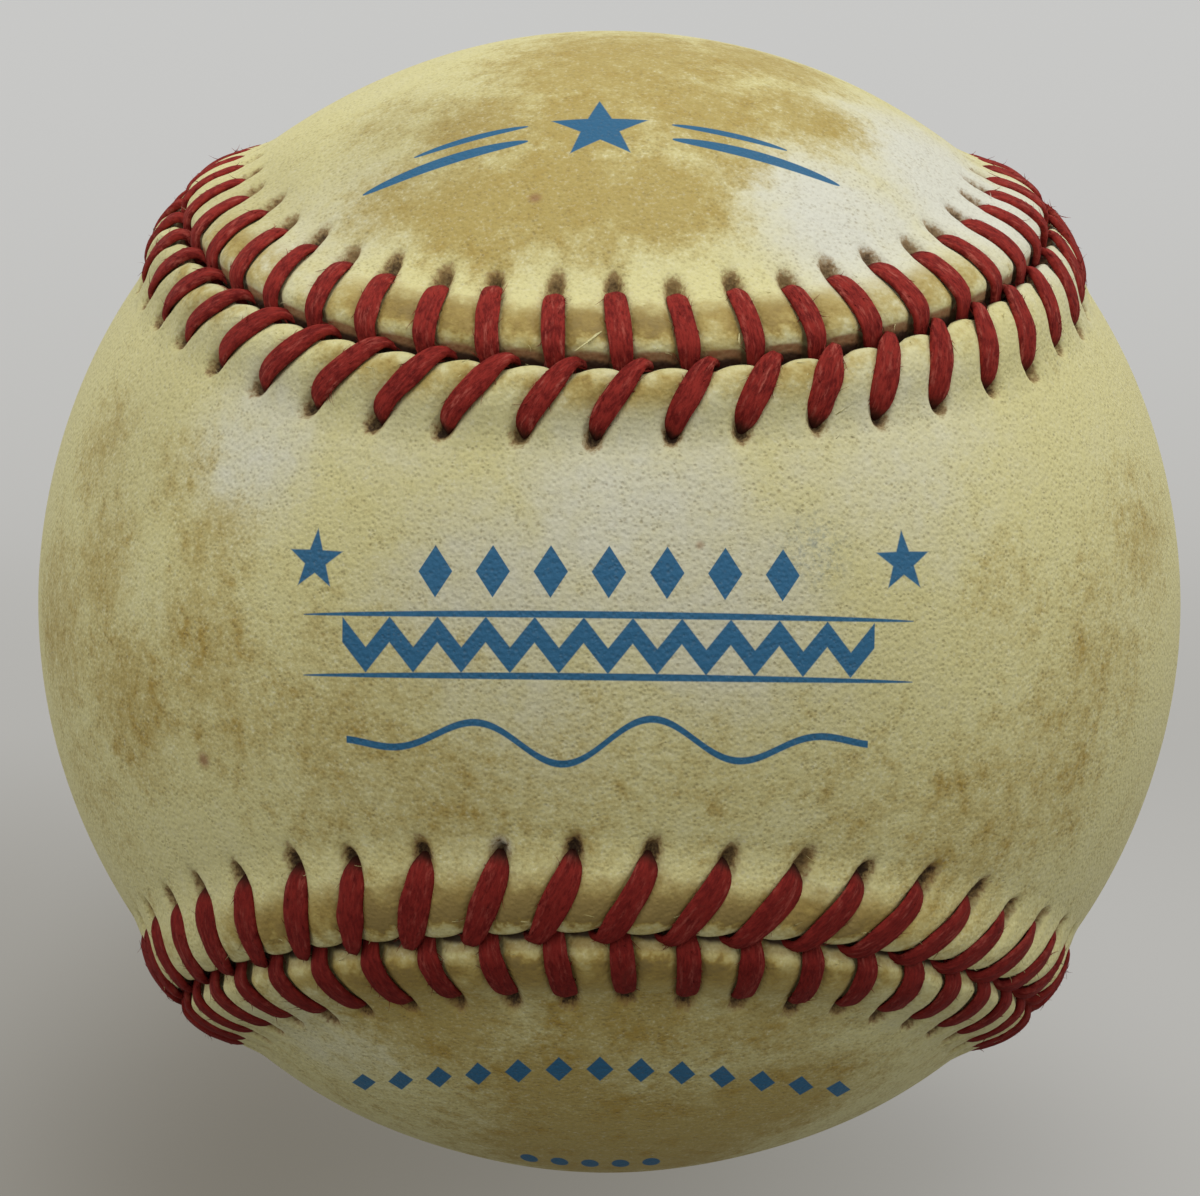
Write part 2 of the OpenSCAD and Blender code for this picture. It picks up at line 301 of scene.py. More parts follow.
class Stitching:
    """Where each stitch lies, with the small errors of hand sewing."""

    def __init__(self, seam, sizes):
        self.seam = seam
        self.reach = sizes.hole_reach / MM
        self.lanes = (np.arange(seam.stitches) + 0.5) * seam.pitch
        self.leads = {side: np.array(way)[::-1, 1::-1].T for side, way in STITCH_WAYS.items()}
        draw = np.random.default_rng(sizes.seed)

        def errors(kind, *limits):
            return {side: kind(*limits, seam.stitches) for side in (FRONT, BACK)}

        def with_errors(front, back, error):
            return {FRONT: front * error[FRONT], BACK: back * error[BACK]}

        self.slip = errors(draw.normal, 0, 0.030)
        stretch = errors(draw.normal, 1, 0.022)
        self.puff = errors(draw.normal, 0.13, 0.035)
        loose = errors(draw.normal, 1, 0.05)
        torn = errors(draw.uniform, 0.8, 1.25)
        soil = errors(draw.uniform, -0.25, 0.25)
        upper, lower = self.middles(self.lanes)
        over, under = swell(upper, 0, 11), swell(lower, 0, 11)
        self.phase = self.drift(self.lanes)
        # How far the holes stand out sideways from their stitch's lane, in pitches.
        fanned = upper * swell(upper, 0, 12, 4) + lower * swell(lower, 0, 12, 4)
        self.fan = {FRONT: 0.038 * fanned, BACK: 0.052 * fanned}
        holes = [self.hole_place(side, self.lanes) for side in (FRONT, BACK)]
        self.hole = with_errors(*holes, stretch)
        # Share of the thread's width that a stitch shows.
        wide = swell(lower, 0, 12)
        self.fullness = with_errors(0.97 + 0.14 * wide, 0.97 + 0.08 * wide, loose)
        # How far a hole runs on past its thread.
        front, back = 0.85 - 0.10 * over + 0.45 * under, 0.95 + 0.20 * over - 0.05 * under
        self.tear = with_errors(front, back, torn)
        # Share of black in the holes: dirt, and painted shade down in the hole.
        self.soil = {FRONT: 0.60 + soil[FRONT], BACK: 0.65 - 0.45 * over + soil[BACK]}

    def middles(self, s):
        """How far s is from the middles of the two stretches over and under the front
        panel's waist, in pitches."""
        seam, half = self.seam, self.seam.length / 2
        for t in (-math.pi / 4, 3 * math.pi / 4):
            at = np.interp(t % (2 * math.pi), seam.angles, seam.lengths)
            yield ((s - at + half) % seam.length - half) / seam.pitch

    def gap_shift(self, s):
        """How far the gap lies from the seam's middle line towards the front panel."""
        upper, lower = self.middles(s)
        drawn = 0.62 * swell(upper, 1, 6) + 0.60 * swell(lower, 0, 8.5, 4)
        return 0.16 - drawn + 0.05 * np.sin(upper * 0.9)

    def drift(self, s):
        """How far the stitches have crept along the seam, in pitches."""
        upper, lower = self.middles(s)
        return 0.08 * swell(upper, 0, 14) - 0.11 * swell(lower, 0, 14)

    def hole_place(self, side, s):
        """Distance from the seam at which the thread goes into one panel's holes."""
        upper, lower = self.middles(s)
        if side == FRONT:
            tight = 1.40 * swell(upper, 1.8, 4.2) + 0.50 * swell(upper, -5, 4)
            return self.reach * 0.88 - tight - 0.70 * swell(lower, -3.5, 5.5)
        wide = 0.75 * swell(upper, 2, 5.5) + 0.70 * swell(lower, 2, 6)
        return self.reach * 0.92 + wide

    def table_place(self, side, x, shift, hole):
        """Distance in the stitch tables that stands for a distance x from the seam."""
        table = STITCH_WAYS[side][1][1]
        inner = (x - shift) * table / (hole - shift)
        return np.where(x > hole, x * table / hole, np.where(x < shift, x - shift, inner))

    def real_place(self, side, far, shift, hole):
        """Distance from the seam that a distance in the stitch tables stands for."""
        table = STITCH_WAYS[side][1][1]
        inner = shift + far * (hole - shift) / table
        return np.where(far > table, far * hole / table, np.where(far < 0, far + shift, inner))

    def nearest(self, side, s, x):
        """For points beside the seam: number of the nearest stitch, the signed distance
        from its middle line and the distance past the end of its thread."""
        seam = self.seam
        shift = side * self.gap_shift(s)
        far, lead = self.leads[side]
        steep = 0.35 * (lead[-1] - lead[-5]) / (far[-1] - far[-5])
        slant = np.gradient(lead, far)
        zero = np.zeros_like(x)
        ground = seam.point(s, side * x, zero)
        guess = np.round(s / seam.pitch - 0.5 - self.drift(s) - 0.15).astype(int)
        found = None
        for number in (guess - 1, guess, guess + 1):
            k = number % seam.stitches
            hole = self.hole[side][k]
            at = self.table_place(side, x, shift, hole)
            share = np.clip(at / far[-2], 0, 1.3)
            ahead = np.interp(at, far, lead) + np.maximum(at - far[-1], 0) * steep
            ahead = ahead + self.phase[k] + (self.slip[side][k] + self.fan[side][k]) * share
            lane = (number + 0.5 + ahead) * seam.pitch
            apart = np.linalg.norm(ground - seam.point(lane, side * x, zero), axis=-1)
            turn = np.interp(at, far, slant) + self.fan[side][k] / far[-2]
            lean = np.sqrt(1 + (turn * seam.pitch) ** 2)
            answer = (k, apart / lean * np.sign(s - lane), (x - hole) * lean)
            found = found or answer
            nearer = np.abs(answer[1]) < np.abs(found[1])
            found = tuple(np.where(nearer, new, old) for new, old in zip(answer, found))
        return found


def tab_height(stitching, side, s, x):
    """Height of the cover's outer face beside the seam, and the marks of its sewing:
    distance in the section, distance from the stitch, distance from its hole, and the share of
    black in its hole, which is dirt and painted shade."""
    shift = side * stitching.gap_shift(s)
    at = stitching.table_place(side, x, shift, stitching.hole_place(side, s))
    k, off, past = stitching.nearest(side, s, x)
    near = np.abs(off)
    # The thread draws the fold in beside it.
    drawn = 0.45 * swell(near, 0, 0.9) * (1 - ease(0.9, 2.4, at)) * (side == BACK)
    base = smooth(BORDER_SECTIONS[side], at - drawn)
    crown = ease(0.55, 1.35, near) * (1 - ease(3.4, 5.4, at)) * ease(0.6, 1.6, at)
    groove = smooth(GROOVE_SECTION, at) * swell(near, 0, 0.80, 4)
    tear = stitching.tear[side][k]
    middle = past - 0.42 * tear
    hollow = np.sqrt((off / 0.46) ** 2 + (middle / (0.22 + 0.55 * tear)) ** 2)
    dimple = 0.85 * np.exp(-1.2 * hollow**2)
    pucker = 0.07 * swell(near, 0.95, 0.35) * swell(past, 0.3, 0.7)
    height = base + stitching.puff[side][k] * crown - groove - dimple + pucker
    return height, np.stack([at, near, hollow], -1), stitching.soil[side][k]


def placed(name, data):
    """A new object in the scene."""
    made = bpy.data.objects.new(name, data)
    bpy.context.scene.collection.objects.link(made)
    return made


def shell_piece(name, points, quads, tris, marks):
    """A closed mesh piece of quads and triangles, in metres, with named point attributes."""
    mesh = bpy.data.meshes.new(name)
    corners = np.concatenate([quads.ravel(), tris.ravel()])
    sizes = np.repeat([4, 3], [len(quads), len(tris)])
    mesh.vertices.add(len(points))
    mesh.vertices.foreach_set("co", (points * MM).astype(np.float32).ravel())
    mesh.loops.add(len(corners))
    mesh.loops.foreach_set("vertex_index", corners.astype(np.int32))
    mesh.polygons.add(len(sizes))
    mesh.polygons.foreach_set("loop_start", (np.cumsum(sizes) - sizes).astype(np.int32))
    mesh.update(calc_edges=True)
    mesh.validate()
    mesh.shade_smooth()
    for mark, values in marks.items():
        kind, key = ("FLOAT_VECTOR", "vector") if values.ndim == 2 else ("FLOAT", "value")
        layer = mesh.attributes.new(mark, kind, "POINT")
        layer.data.foreach_set(key, values.astype(np.float32).ravel())
    return placed(name, mesh)


def ring_quads(rings, sides):
    """Quads between rings of points that follow one another."""
    i, j = np.meshgrid(np.arange(rings - 1) * sides, np.arange(sides), indexing="ij")
    ahead = (j + 1) % sides
    return np.stack([i + j, i + sides + j, i + sides + ahead, i + ahead], -1).reshape(-1, 4)


def joined(points, quads, tris, more):
    """The points, quads and triangles of two meshes in one."""
    first = len(points)
    return (
        np.concatenate([points, more[0]]),
        np.concatenate([quads, more[1] + first]),
        np.concatenate([tris, more[2] + first]),
    )


def scattered(spacing):
    """Even directions all over a ball, a spacing apart on the cover."""
    count = int(4 * math.pi * COVER_R**2 / (spacing**2 * 0.87))
    i = np.arange(count) + 0.5
    z = 1 - 2 * i / count
    turn = i * math.pi * (3 - math.sqrt(5))
    r = np.sqrt(1 - z * z)
    return np.stack([r * np.cos(turn), r * np.sin(turn), z], -1)


def within(points, ring):
    """Which of some flat points lie inside a closed ring."""
    ax, ay = ring.T
    bx, by = np.roll(ring, -1, axis=0).T
    x, y = points[:, :1], points[:, 1:]
    crossed = (ay > y) != (by > y)
    level = ax + (y - ay) * (bx - ax) / np.where(by == ay, 1, by - ay)
    return (crossed & (x < level)).sum(axis=1) % 2 == 1


def fill(seam, side, rim, spacing, clearance):
    """Inner points of a panel and the triangles that join them to its rim."""
    ways = scattered(spacing)
    ways = ways[side * seam.distance(ways) > clearance]
    both = np.concatenate([unit(rim), ways])
    # The panel's middle is at -Y for the front panel and at +Y for the back panel.
    flat = both[:, [0, 2]] / (1 - side * both[:, 1])[:, None]
    loop = list(range(len(rim)))
    made = delaunay_2d_cdt([Vector(p) for p in flat], [], [loop], 1, 1e-9, True)
    source = [ids[0] for ids in made[3]]
    tris = np.array([[source[i] for i in face] for face in made[2]])
    # Of the triangles between rim points alone, those across a bay lie outside the panel.
    bridges = np.flatnonzero((tris < len(rim)).all(axis=1))
    outside = bridges[~within(flat[tris[bridges]].mean(axis=1), flat[loop])]
    return ways, np.delete(tris, outside, axis=0)


def outward(points, tris, wanted):
    """The same triangles, turned so that they face out of the ball, or into it."""
    a, b, c = (points[tris[:, i]] for i in range(3))
    facing = np.einsum("ij,ij->i", np.cross(b - a, c - a), a + b + c) * wanted
    return np.where((facing < 0)[:, None], tris[:, ::-1], tris)


def hairs(roots, ways, bends, half_w):
    """Fine fibres as thin tapered tubes, bent over along their length."""
    t = np.array(HAIR_RINGS)
    middle = roots[:, None] + ways[:, None] * t[:, None] + bends[:, None] * (t**2)[:, None]
    side = unit(np.cross(ways, bends + ways[:, ::-1] * 0.1))
    other = unit(np.cross(ways, side))
    turn = (np.arange(HAIR_SIDES) * 2 * math.pi / HAIR_SIDES)[:, None]
    ring = side[:, None, None] * np.cos(turn) + other[:, None, None] * np.sin(turn)
    thick = half_w[:, None, None, None] * (1 - 0.75 * t)[:, None, None]
    points = (middle[:, :, None] + ring * thick).reshape(-1, 3)
    start = np.arange(len(roots))[:, None, None] * HAIR_POINTS
    quads = start + ring_quads(len(t), HAIR_SIDES)[:, [0, 3, 2, 1]]
    tris = start + np.array([[0, 2, 1], [HAIR_POINTS - 3, HAIR_POINTS - 2, HAIR_POINTS - 1]])
    return points, quads.reshape(-1, 4), tris.reshape(-1, 3)


def edge_place(stitching, side, s):
    """Distance of a panel's edge from the seam's middle line."""
    shift = side * stitching.gap_shift(s)
    _, off, _ = stitching.nearest(side, s, shift + 0.2)
    scallop = 1 - ease(0.1, 1.6, np.abs(off))
    if side == FRONT:
        return 0.04 + shift + 0.46 * scallop
    return -0.16 + shift + 0.06 * scallop


def border_hairs(side, seam, s, band):
    """Fibres that stand up from a panel's border, and its torn slivers."""
    draw = np.random.default_rng(FIBRE_SEED + side)
    spread = draw.integers(0, len(s), FIBRES)
    level = np.searchsorted(-FACE_ROWS[::-1], -draw.choice(FIBRE_ROWS, FIBRES))
    roots = band[level * len(s) + spread]
    _, run, inward = seam.frame(s[spread])
    length = draw.uniform(0.25, 0.75, FIBRES)[:, None]
    ways = run * draw.choice([-1, 1], FIBRES)[:, None] + inward * draw.normal(0, 0.5, (FIBRES, 1))
    ways = unit(ways + unit(roots) * draw.uniform(0.05, 0.35, (FIBRES, 1))) * length
    bends = (draw.normal(0, 0.25, (FIBRES, 3)) - unit(roots) * 0.1) * length
    half_w = draw.uniform(*HAIR_HALF_W, FIBRES)
    torn = [row[1:] for row in SLIVERS if row[0] == side]
    start = np.array([spot(x, y) * (COVER_R + 1.1) for x, y, *_ in torn])
    end = np.array([spot(x, y) * (COVER_R + 2.1) for _, _, x, y, _ in torn])
    return hairs(
        np.concatenate([roots, start]),
        np.concatenate([ways, end - start]),
        np.concatenate([bends, unit(start) * 0.25]),
        np.concatenate([half_w, [row[-1] for row in torn]]),
    )


def cover_panel(name, side, stitching):
    """One leather panel as a closed sheet with its sewn border."""
    seam = stitching.seam
    columns = seam.stitches * STEPS_PER_STITCH
    s = (np.arange(columns) + 0.5) * seam.length / columns
    edge = edge_place(stitching, side, s)
    upper, _ = stitching.middles(s)
    # The upper seam's cut edge, which faces down, gets more of the dark raw colour: painted shade.
    raw_and_shade = 0.25 + 0.75 * swell(upper, 0, 15, 4)
    bare = CUT_EDGE_W[side]
    rows, heights = [], []

    def place(r):
        return edge + r * (BAND_W - edge) / BAND_W

    def lay_row(x, h, mark, cut, soil):
        row = [np.broadcast_to(value, columns) for value in (cut, soil)]
        rows.append((seam.point(s, side * x, h), np.broadcast_to(mark, (columns, 3)), *row))

    for r in FACE_ROWS[::-1]:
        x = place(r)
        h, mark, dirt_and_shade = tab_height(stitching, side, s, x)
        ground = seam.point(s, side * x, np.zeros_like(x))
        short, long = ripple(ground, *SHORT_WAVE), ripple(ground, *LONG_WAVE)
        h = h + 0.03 * short * (1 - ease(1, 5, x)) + 0.04 * long
        if r < 0.2:
            h = h - 0.10 * (1 - r / 0.2) ** 2
        lay_row(x, h, mark, raw_and_shade * (1 - ease(bare - 0.16, bare - 0.02, mark[:, 0])), dirt_and_shade)
        heights.append(h)
    heights = np.array(heights)[::-1]
    # The cut edge runs down to the lining, which then runs back under the face.
    for share in (0.12, 0.4, 0.75):
        h = heights[0] * (1 - share) + smooth(LINING_SECTION, edge) * share
        lay_row(edge + 0.06 + 0.03 * share, h, mark, 1.0, dirt_and_shade)
    for before, r, after in zip((0.0, *LINING_ROWS), LINING_ROWS, (*LINING_ROWS[1:], BAND_W)):
        x = place(r) + 0.1 * (r == 0)
        over = heights[(FACE_ROWS >= before) & (FACE_ROWS <= after)].min(axis=0)
        h = np.minimum(smooth(LINING_SECTION, x), over - LEAST_T)
        lay_row(x, np.maximum(h, WOUND_R - COVER_R + LINING_SPACE), PLAIN, LINED, 0.0)
    band, sewing, cut, soil = (np.concatenate(part) for part in zip(*rows))
    # The front panel's rows run the other way round it than the back panel's.
    quads = ring_quads(len(rows), columns)[:, ::-side]

    face_ways, face_tris = fill(seam, side, band[:columns], FACE_SPACING, BAND_W + 0.1)
    back_ways, back_tris = fill(seam, side, band[-columns:], LINING_SPACING, BAND_W + 0.6)
    face = face_ways * (COVER_R + 0.04 * ripple(face_ways * COVER_R, *LONG_WAVE))[:, None]
    points = np.concatenate([band, face, back_ways * (WOUND_R + 0.03)])

    def numbered(tris, rim, inner, wanted):
        tris = np.where(tris < columns, tris + rim, tris - columns + inner)
        return outward(points, tris, wanted)

    top = len(band)
    face_tris = numbered(face_tris, 0, top, 1)
    back_tris = numbered(back_tris, top - columns, top + len(face), -1)
    tris = np.concatenate([face_tris, back_tris])
    fibres = border_hairs(side, seam, s, band)
    points, quads, tris = joined(points, quads, tris, fibres)
    inner = [0.0, LINED, 0.0], [len(face), len(back_ways), len(fibres[0])]
    marks = {
        "sewing": np.concatenate([sewing, np.tile(PLAIN, (len(points) - top, 1))]),
        "cut": np.concatenate([cut, np.repeat(*inner)]),
        "soil": np.concatenate([soil, np.zeros(len(points) - top)]),
    }
    return shell_piece(name, points, quads, tris, marks)


def thread_way(stitching, first):
    """Corners of the way of one half of the thread: place along the seam, distance
    into the front panel, height, half width, half thickness, stitch number and the
    direction of its width, as parts along the seam and into the front panel."""
    pitch = stitching.seam.pitch
    stitches = []
    for k, lane in enumerate(stitching.lanes):
        side = first if k % 2 == 0 else -first
        lead, far, h, half_w, half_t = np.array(STITCH_WAYS[side]).T
        hole = stitching.hole[side][k]
        slant = (lead[8] - lead[3]) * pitch
        reach = (far[3] - far[8]) * hole / far[1]
        ways = np.tile(unit(np.array([reach, side * slant])), (len(far), 1))
        share = np.clip(far / far[1], 0, 1.05)
        aside = (stitching.slip[side][k] + stitching.fan[side][k]) * share
        lead = lead + stitching.phase[k] + aside
        s = lane + lead * pitch
        x = stitching.real_place(side, far, side * stitching.gap_shift(s), hole)
        half_w = half_w * stitching.fullness[side][k]
        number = np.full_like(s, k)
        stitches.append(np.column_stack([s, side * x, h, half_w, half_t, number, ways]))
    corners = []
    for stitch, after in zip(stitches, stitches[1:]):
        share = np.array(HIDDEN_SHARES)[:, None]
        hidden = stitch[-1] + (after[0] - stitch[-1]) * share
        hidden[:, 2:5] = HIDDEN_H, HIDDEN_HALF_W, HIDDEN_HALF_T
        hidden[:, 6:] = 1.0, 0.0
        corners += [stitch, hidden]
    return np.concatenate(corners + [stitches[-1]])


def through(corners, steps):
    """Points of the smooth curve through corners, some steps between each two."""
    before = np.concatenate([corners[:1] * 2 - corners[1:2], corners[:-2]])
    after = np.concatenate([corners[2:], corners[-1:] * 2 - corners[-2:-1]])
    start, end = corners[:-1], corners[1:]
    parts = []
    for n in range(steps):
        t = n / steps
        part = 2 * start + (end - before) * t
        part = part + (2 * before - 5 * start + 4 * end - after) * t**2
        parts.append(0.5 * (part + (3 * start - before - 3 * end + after) * t**3))
    curve = np.stack(parts, 1).reshape(-1, corners.shape[1])
    return np.concatenate([curve, corners[-1:]])


def tube(middle, wide, thick, half_w, half_t, flutes):
    """Rings of a flattened strand round a way, and how far each point is to its side."""
    angle = np.arange(THREAD_SIDES) * 2 * math.pi / THREAD_SIDES
    across, up = (np.sign(c) * np.abs(c) ** THREAD_ROUND for c in (np.cos(angle), np.sin(angle)))
    flute = flutes * np.cos(5 * angle + 0.6)
    sideways = half_w[:, None] * across * (1 + flute * 0.35)
    upward = half_t[:, None] * up * (1 + flute)
    sides = wide[:, None] * sideways[..., None] + thick[:, None] * upward[..., None]
    return middle[:, None] + sides, sideways


def thread_half(name, first, stitching):
    """One half of the thread, from its first hole to its end."""
    way = through(thread_way(stitching, first), RINGS_PER_STEP)
    s, d, h, half_w, half_t, number, level, inner = way.T
    middle = stitching.seam.point(s, d, h)
    _, run, inward = stitching.seam.frame(s)
    flat = run * level[:, None] + inward * inner[:, None]
    step = unit(np.gradient(middle, axis=0))
    wide = unit(flat - step * np.einsum("ij,ij->i", flat, step)[:, None])
    thick = np.cross(wide, step)
    waver = 1 + 0.045 * ripple(middle, 2.1, WAVER_SEED + first) * ease(-0.5, 0.5, h)
    from_end = np.arange(len(s))
    end = ease(0, 3, from_end) * ease(0, 3, from_end[::-1]) * 0.6 + 0.4
    rings, sideways = tube(middle, wide, thick, half_w * waver * end, half_t * end, 0.09)
    length = np.concatenate([[0], np.cumsum(np.linalg.norm(np.diff(middle, axis=0), axis=1))])
    count, sides = rings.shape[:2]
    points = rings.reshape(-1, 3)
    quads = np.roll(ring_quads(count, sides), -1, axis=1)
    ring = np.arange(sides)
    after, last, top = (ring + 1) % sides, (count - 1) * sides, count * sides
    tris = np.concatenate(
        [
            np.stack([ring, after, np.full(sides, top)], -1),
            np.stack([last + after, last + ring, np.full(sides, top + 1)], -1),
        ]
    )
    points = np.concatenate([points, [points[:sides].mean(0), points[-sides:].mean(0)]])

    draw = np.random.default_rng(FUZZ_SEED + first)
    at = draw.choice(np.flatnonzero(h > 0.2), FUZZ)
    face = draw.integers(0, sides, FUZZ)
    roots = rings[at, face]
    away = unit(roots - middle[at])
    along = step[at] * draw.choice([-1, 1], FUZZ)[:, None]
    size = draw.uniform(0.20, 0.60, FUZZ)[:, None]
    ways = unit(along + away * draw.uniform(0.1, 0.8, (FUZZ, 1))) * size
    bends = (draw.normal(0, 0.3, (FUZZ, 3)) + away * 0.1) * size
    fuzz = hairs(roots, ways, bends, draw.uniform(*HAIR_HALF_W, FUZZ))
    lay = np.stack(np.broadcast_arrays(sideways, length[:, None], number[:, None]), -1)
    fuzz_lay = np.repeat(lay[at, face], HAIR_POINTS, axis=0)
    fuzz_lift = np.repeat(h[at] + 0.3, HAIR_POINTS)
    marks = {
        "lay": np.concatenate([lay.reshape(-1, 3), lay[0, :1], lay[-1, -1:], fuzz_lay]),
        "lift": np.concatenate([np.repeat(h, sides), h[[0, -1]], fuzz_lift]),
    }
    return shell_piece(name, *joined(points, quads, tris, fuzz), marks)


def operator(operation, swapped=False):
    """A Python operator that adds a Math node."""

    def reckon(self, *others):
        values = (*others, self) if swapped else (self, *others)
        return self.sheet.math(operation, *values)

    return reckon


class Value:
    """A number from a socket. Sums written with it add the material's Math nodes."""

    def __init__(self, sheet, socket):
        self.sheet = sheet
        self.socket = socket

    __add__ = __radd__ = operator("ADD")
    __sub__ = operator("SUBTRACT")
    __rsub__ = operator("SUBTRACT", swapped=True)
    __mul__ = __rmul__ = operator("MULTIPLY")
    __truediv__ = operator("DIVIDE")
    __pow__ = operator("POWER")
    __lt__ = operator("LESS_THAN")
    __gt__ = operator("GREATER_THAN")
    __abs__ = operator("ABSOLUTE")


class Sheet:
    """The node sheet of one material."""

    def __init__(self, name, tree=None):
        if tree is None:
            self.material = bpy.data.materials.new(name)
            self.material.use_nodes = True
            tree = self.material.node_tree
            self.shader = tree.nodes["Principled BSDF"]
        self.tree = tree

    def feed(self, socket, value):
        """Gives a socket a link or a value."""
        if isinstance(value, Value):
            self.tree.links.new(value.socket, socket)
        else:
            socket.default_value = value

    def node(self, kind, settings, sockets, *outputs):
        """Adds a node with its settings and its sockets' values or links. Returns its
        first output, or the one or the list of those that are asked for."""
        made = self.tree.nodes.new("ShaderNode" + kind)
        for key, value in settings.items():
            setattr(made, key, value)
        for key, value in sockets.items():
            self.feed(made.inputs[key], value)
        found = [Value(self, made.outputs[key]) for key in outputs or (0,)]
        return found if len(outputs) > 1 else found[0]

    def math(self, operation, *values):
        return self.node("Math", {"operation": operation}, dict(enumerate(values)))

    def measure(self, operation, a, b):
        """A number from a vector and a constant one."""
        return self.node("VectorMath", {"operation": operation}, {0: a, 1: tuple(b)}, "Value")

    def step(self, low, high, value):
        """0 where value is at low, 1 where it is at high, and a smooth step between.
        Low may be the greater."""
        sockets = {"Value": value, "From Min": low, "From Max": high}
        return self.node("MapRange", {"interpolation_type": "SMOOTHSTEP"}, sockets)

    def coat(self, colour, *coats):
        """A colour with others laid over it in turn, each by its share."""
        for share, over in coats:
            colour = self.node("Mix", {"data_type": "RGBA"}, {0: share, 6: colour, 7: over}, 2)
        return colour

    def noise(self, vector, scale, detail=3.0, rough=0.55):
        sockets = {"Vector": vector, "Scale": scale, "Detail": detail, "Roughness": rough}
        return self.node("TexNoise", {}, sockets)

    def cells(self, vector, scale, feature, *outputs):
        sockets = {"Vector": vector, "Scale": scale}
        return self.node("TexVoronoi", {"feature": feature}, sockets, *outputs)

    def mark(self, name, output):
        settings = {"attribute_name": name, "attribute_type": "GEOMETRY"}
        return self.node("Attribute", settings, {}, output)

    def axes(self, vector):
        return self.node("SeparateXYZ", {}, {0: vector}, 0, 1, 2)

    def place(self):
        """Position on the object in millimetres."""
        here = self.node("TexCoord", {}, {}, "Object")
        return self.node("VectorMath", {"operation": "SCALE"}, {0: here, "Scale": 1 / MM})

    def largest(self, *values):
        return reduce(lambda a, b: self.math("MAXIMUM", a, b), values)

    def finish(self, colour, roughness, height=None, depth=0.1, **others):
        """Feeds the shader and returns the material. height is a relief in millimetres."""
        if height is not None:
            sockets = {"Height": height, "Distance": MM, "Strength": depth}
            others["Normal"] = self.node("Bump", {}, sockets)
        for key, value in {"Base_Color": colour, "Roughness": roughness, **others}.items():
            self.feed(self.shader.inputs[key.replace("_", " ")], value)
        return self.material


# The photograph is 1200 by 1196 pixels. The ball's outline in it is a circle.
PHOTO_W = 1200
PHOTO_H = 1196
OUTLINE = (609.4, 601.5)
OUTLINE_R = 570.8
# Distance from the ball's middle to the camera, in radii.
VIEW_REACH = 6.0
# Turn from straight ahead: upwards, sideways and about the line of sight, in degrees.
VIEW_TURN = (4.76, -0.42, 0.63)


def camera_place():
    """The camera's axes right, down and ahead as rows, its place in millimetres and the
    focal length in pixels."""
    focal = OUTLINE_R * math.sqrt(VIEW_REACH**2 - 1)
    turn = Vector([math.radians(a) for a in VIEW_TURN])
    about = Matrix.Rotation(turn.length, 3, turn.normalized())
    axes = np.array(about @ Matrix(((1, 0, 0), (0, 0, -1), (0, 1, 0))))
    aside = [(OUTLINE[0] - PHOTO_W / 2) / focal, (OUTLINE[1] - PHOTO_H / 2) / focal]
    return axes, -axes.T @ np.array([*aside, 1]) * (VIEW_REACH * COVER_R), focal


def spot(x, y):
    """Direction from the ball's middle to what a pixel of the photograph shows."""
    axes, eye, focal = camera_place()
    ray = axes.T @ unit(np.array([(x - PHOTO_W / 2) / focal, (y - PHOTO_H / 2) / focal, 1.0]))
    along = -(eye @ ray)
    short = eye @ eye - along**2
    reach = along - math.sqrt(max(COVER_R**2 - short, 0))
    return unit(eye + ray * reach)


def tangents(way, tilt=0.0):
    """Directions right and up on the cover around a place on it, tilted by an angle."""
    right = unit(np.cross((0.0, 0.0, 1.0), way))
    up = np.cross(way, right)
    c, s = math.cos(tilt), math.sin(tilt)
    return right * c + up * s, up * c - right * s


# Spots on the leather: place in the photograph, radius in millimetres and strength.
STAINS = (
    (400, 195, 5, 0.9), (470, 205, 6, 1.15), (560, 190, 7, 1.2), (655, 195, 6.5, 1.15),
    (500, 245, 4, 0.9), (590, 240, 4, 0.9), (480, 130, 6, 1.05), (590, 120, 7, 1.05),
    (700, 110, 8, 1.1), (800, 115, 6, 1), (620, 60, 12, 1.1), (760, 60, 8, 0.95),
    (390, 120, 6, 0.55), (730, 160, 4, 0.85), (105, 560, 6, 0.75), (60, 620, 8, 0.7),
    (130, 690, 8, 0.68), (200, 640, 7, 0.72), (90, 760, 8, 0.25), (240, 700, 8, 0.5),
    (215, 555, 6, 0.6), (360, 680, 9, 0.45), (100, 450, 6, 0.6), (180, 480, 5, 0.45),
    (1140, 540, 8, 0.6), (1110, 640, 9, 0.52), (1060, 740, 9, 0.5), (980, 820, 9, 0.5),
    (1010, 600, 6, 0.45), (350, 760, 8, 0.55), (440, 800, 7, 0.6), (560, 800, 8, 0.35),
    (700, 810, 9, 0.3), (850, 800, 8, 0.4), (620, 1150, 12, 1.2), (560, 1085, 7, 0.9),
    (760, 1110, 8, 0.85), (430, 1010, 8, 0.8), (620, 1000, 9, 0.7), (760, 1010, 8, 0.5),
)
# Tabs between the stitches that are stained by handling, in the same way.
HANDLED = (
    (440, 300, 9, 1.1), (610, 320, 9, 1.2), (760, 310, 8, 1.1), (900, 270, 7, 0.75),
    (250, 260, 7, 0.75), (400, 890, 9, 1.45), (540, 890, 9, 1.6), (690, 900, 9, 1.5),
    (400, 975, 8, 1), (560, 985, 9, 1.05), (720, 985, 8, 0.9), (280, 900, 8, 1),
    (825, 905, 9, 1.2), (150, 900, 5, 0.6),
)
# Where the leather is still pale, in the same way.
PALE = (
    (960, 190, 12, 1), (840, 220, 9, 0.9), (640, 530, 11, 0.65), (500, 590, 9, 0.55),
    (730, 610, 9, 0.6), (250, 440, 7, 0.6), (310, 250, 9, 0.4), (900, 450, 10, 0.4),
    (560, 680, 9, 0.35), (330, 1040, 7, 0.3), (820, 440, 8, 0.3), (400, 430, 7, 0.25),
)
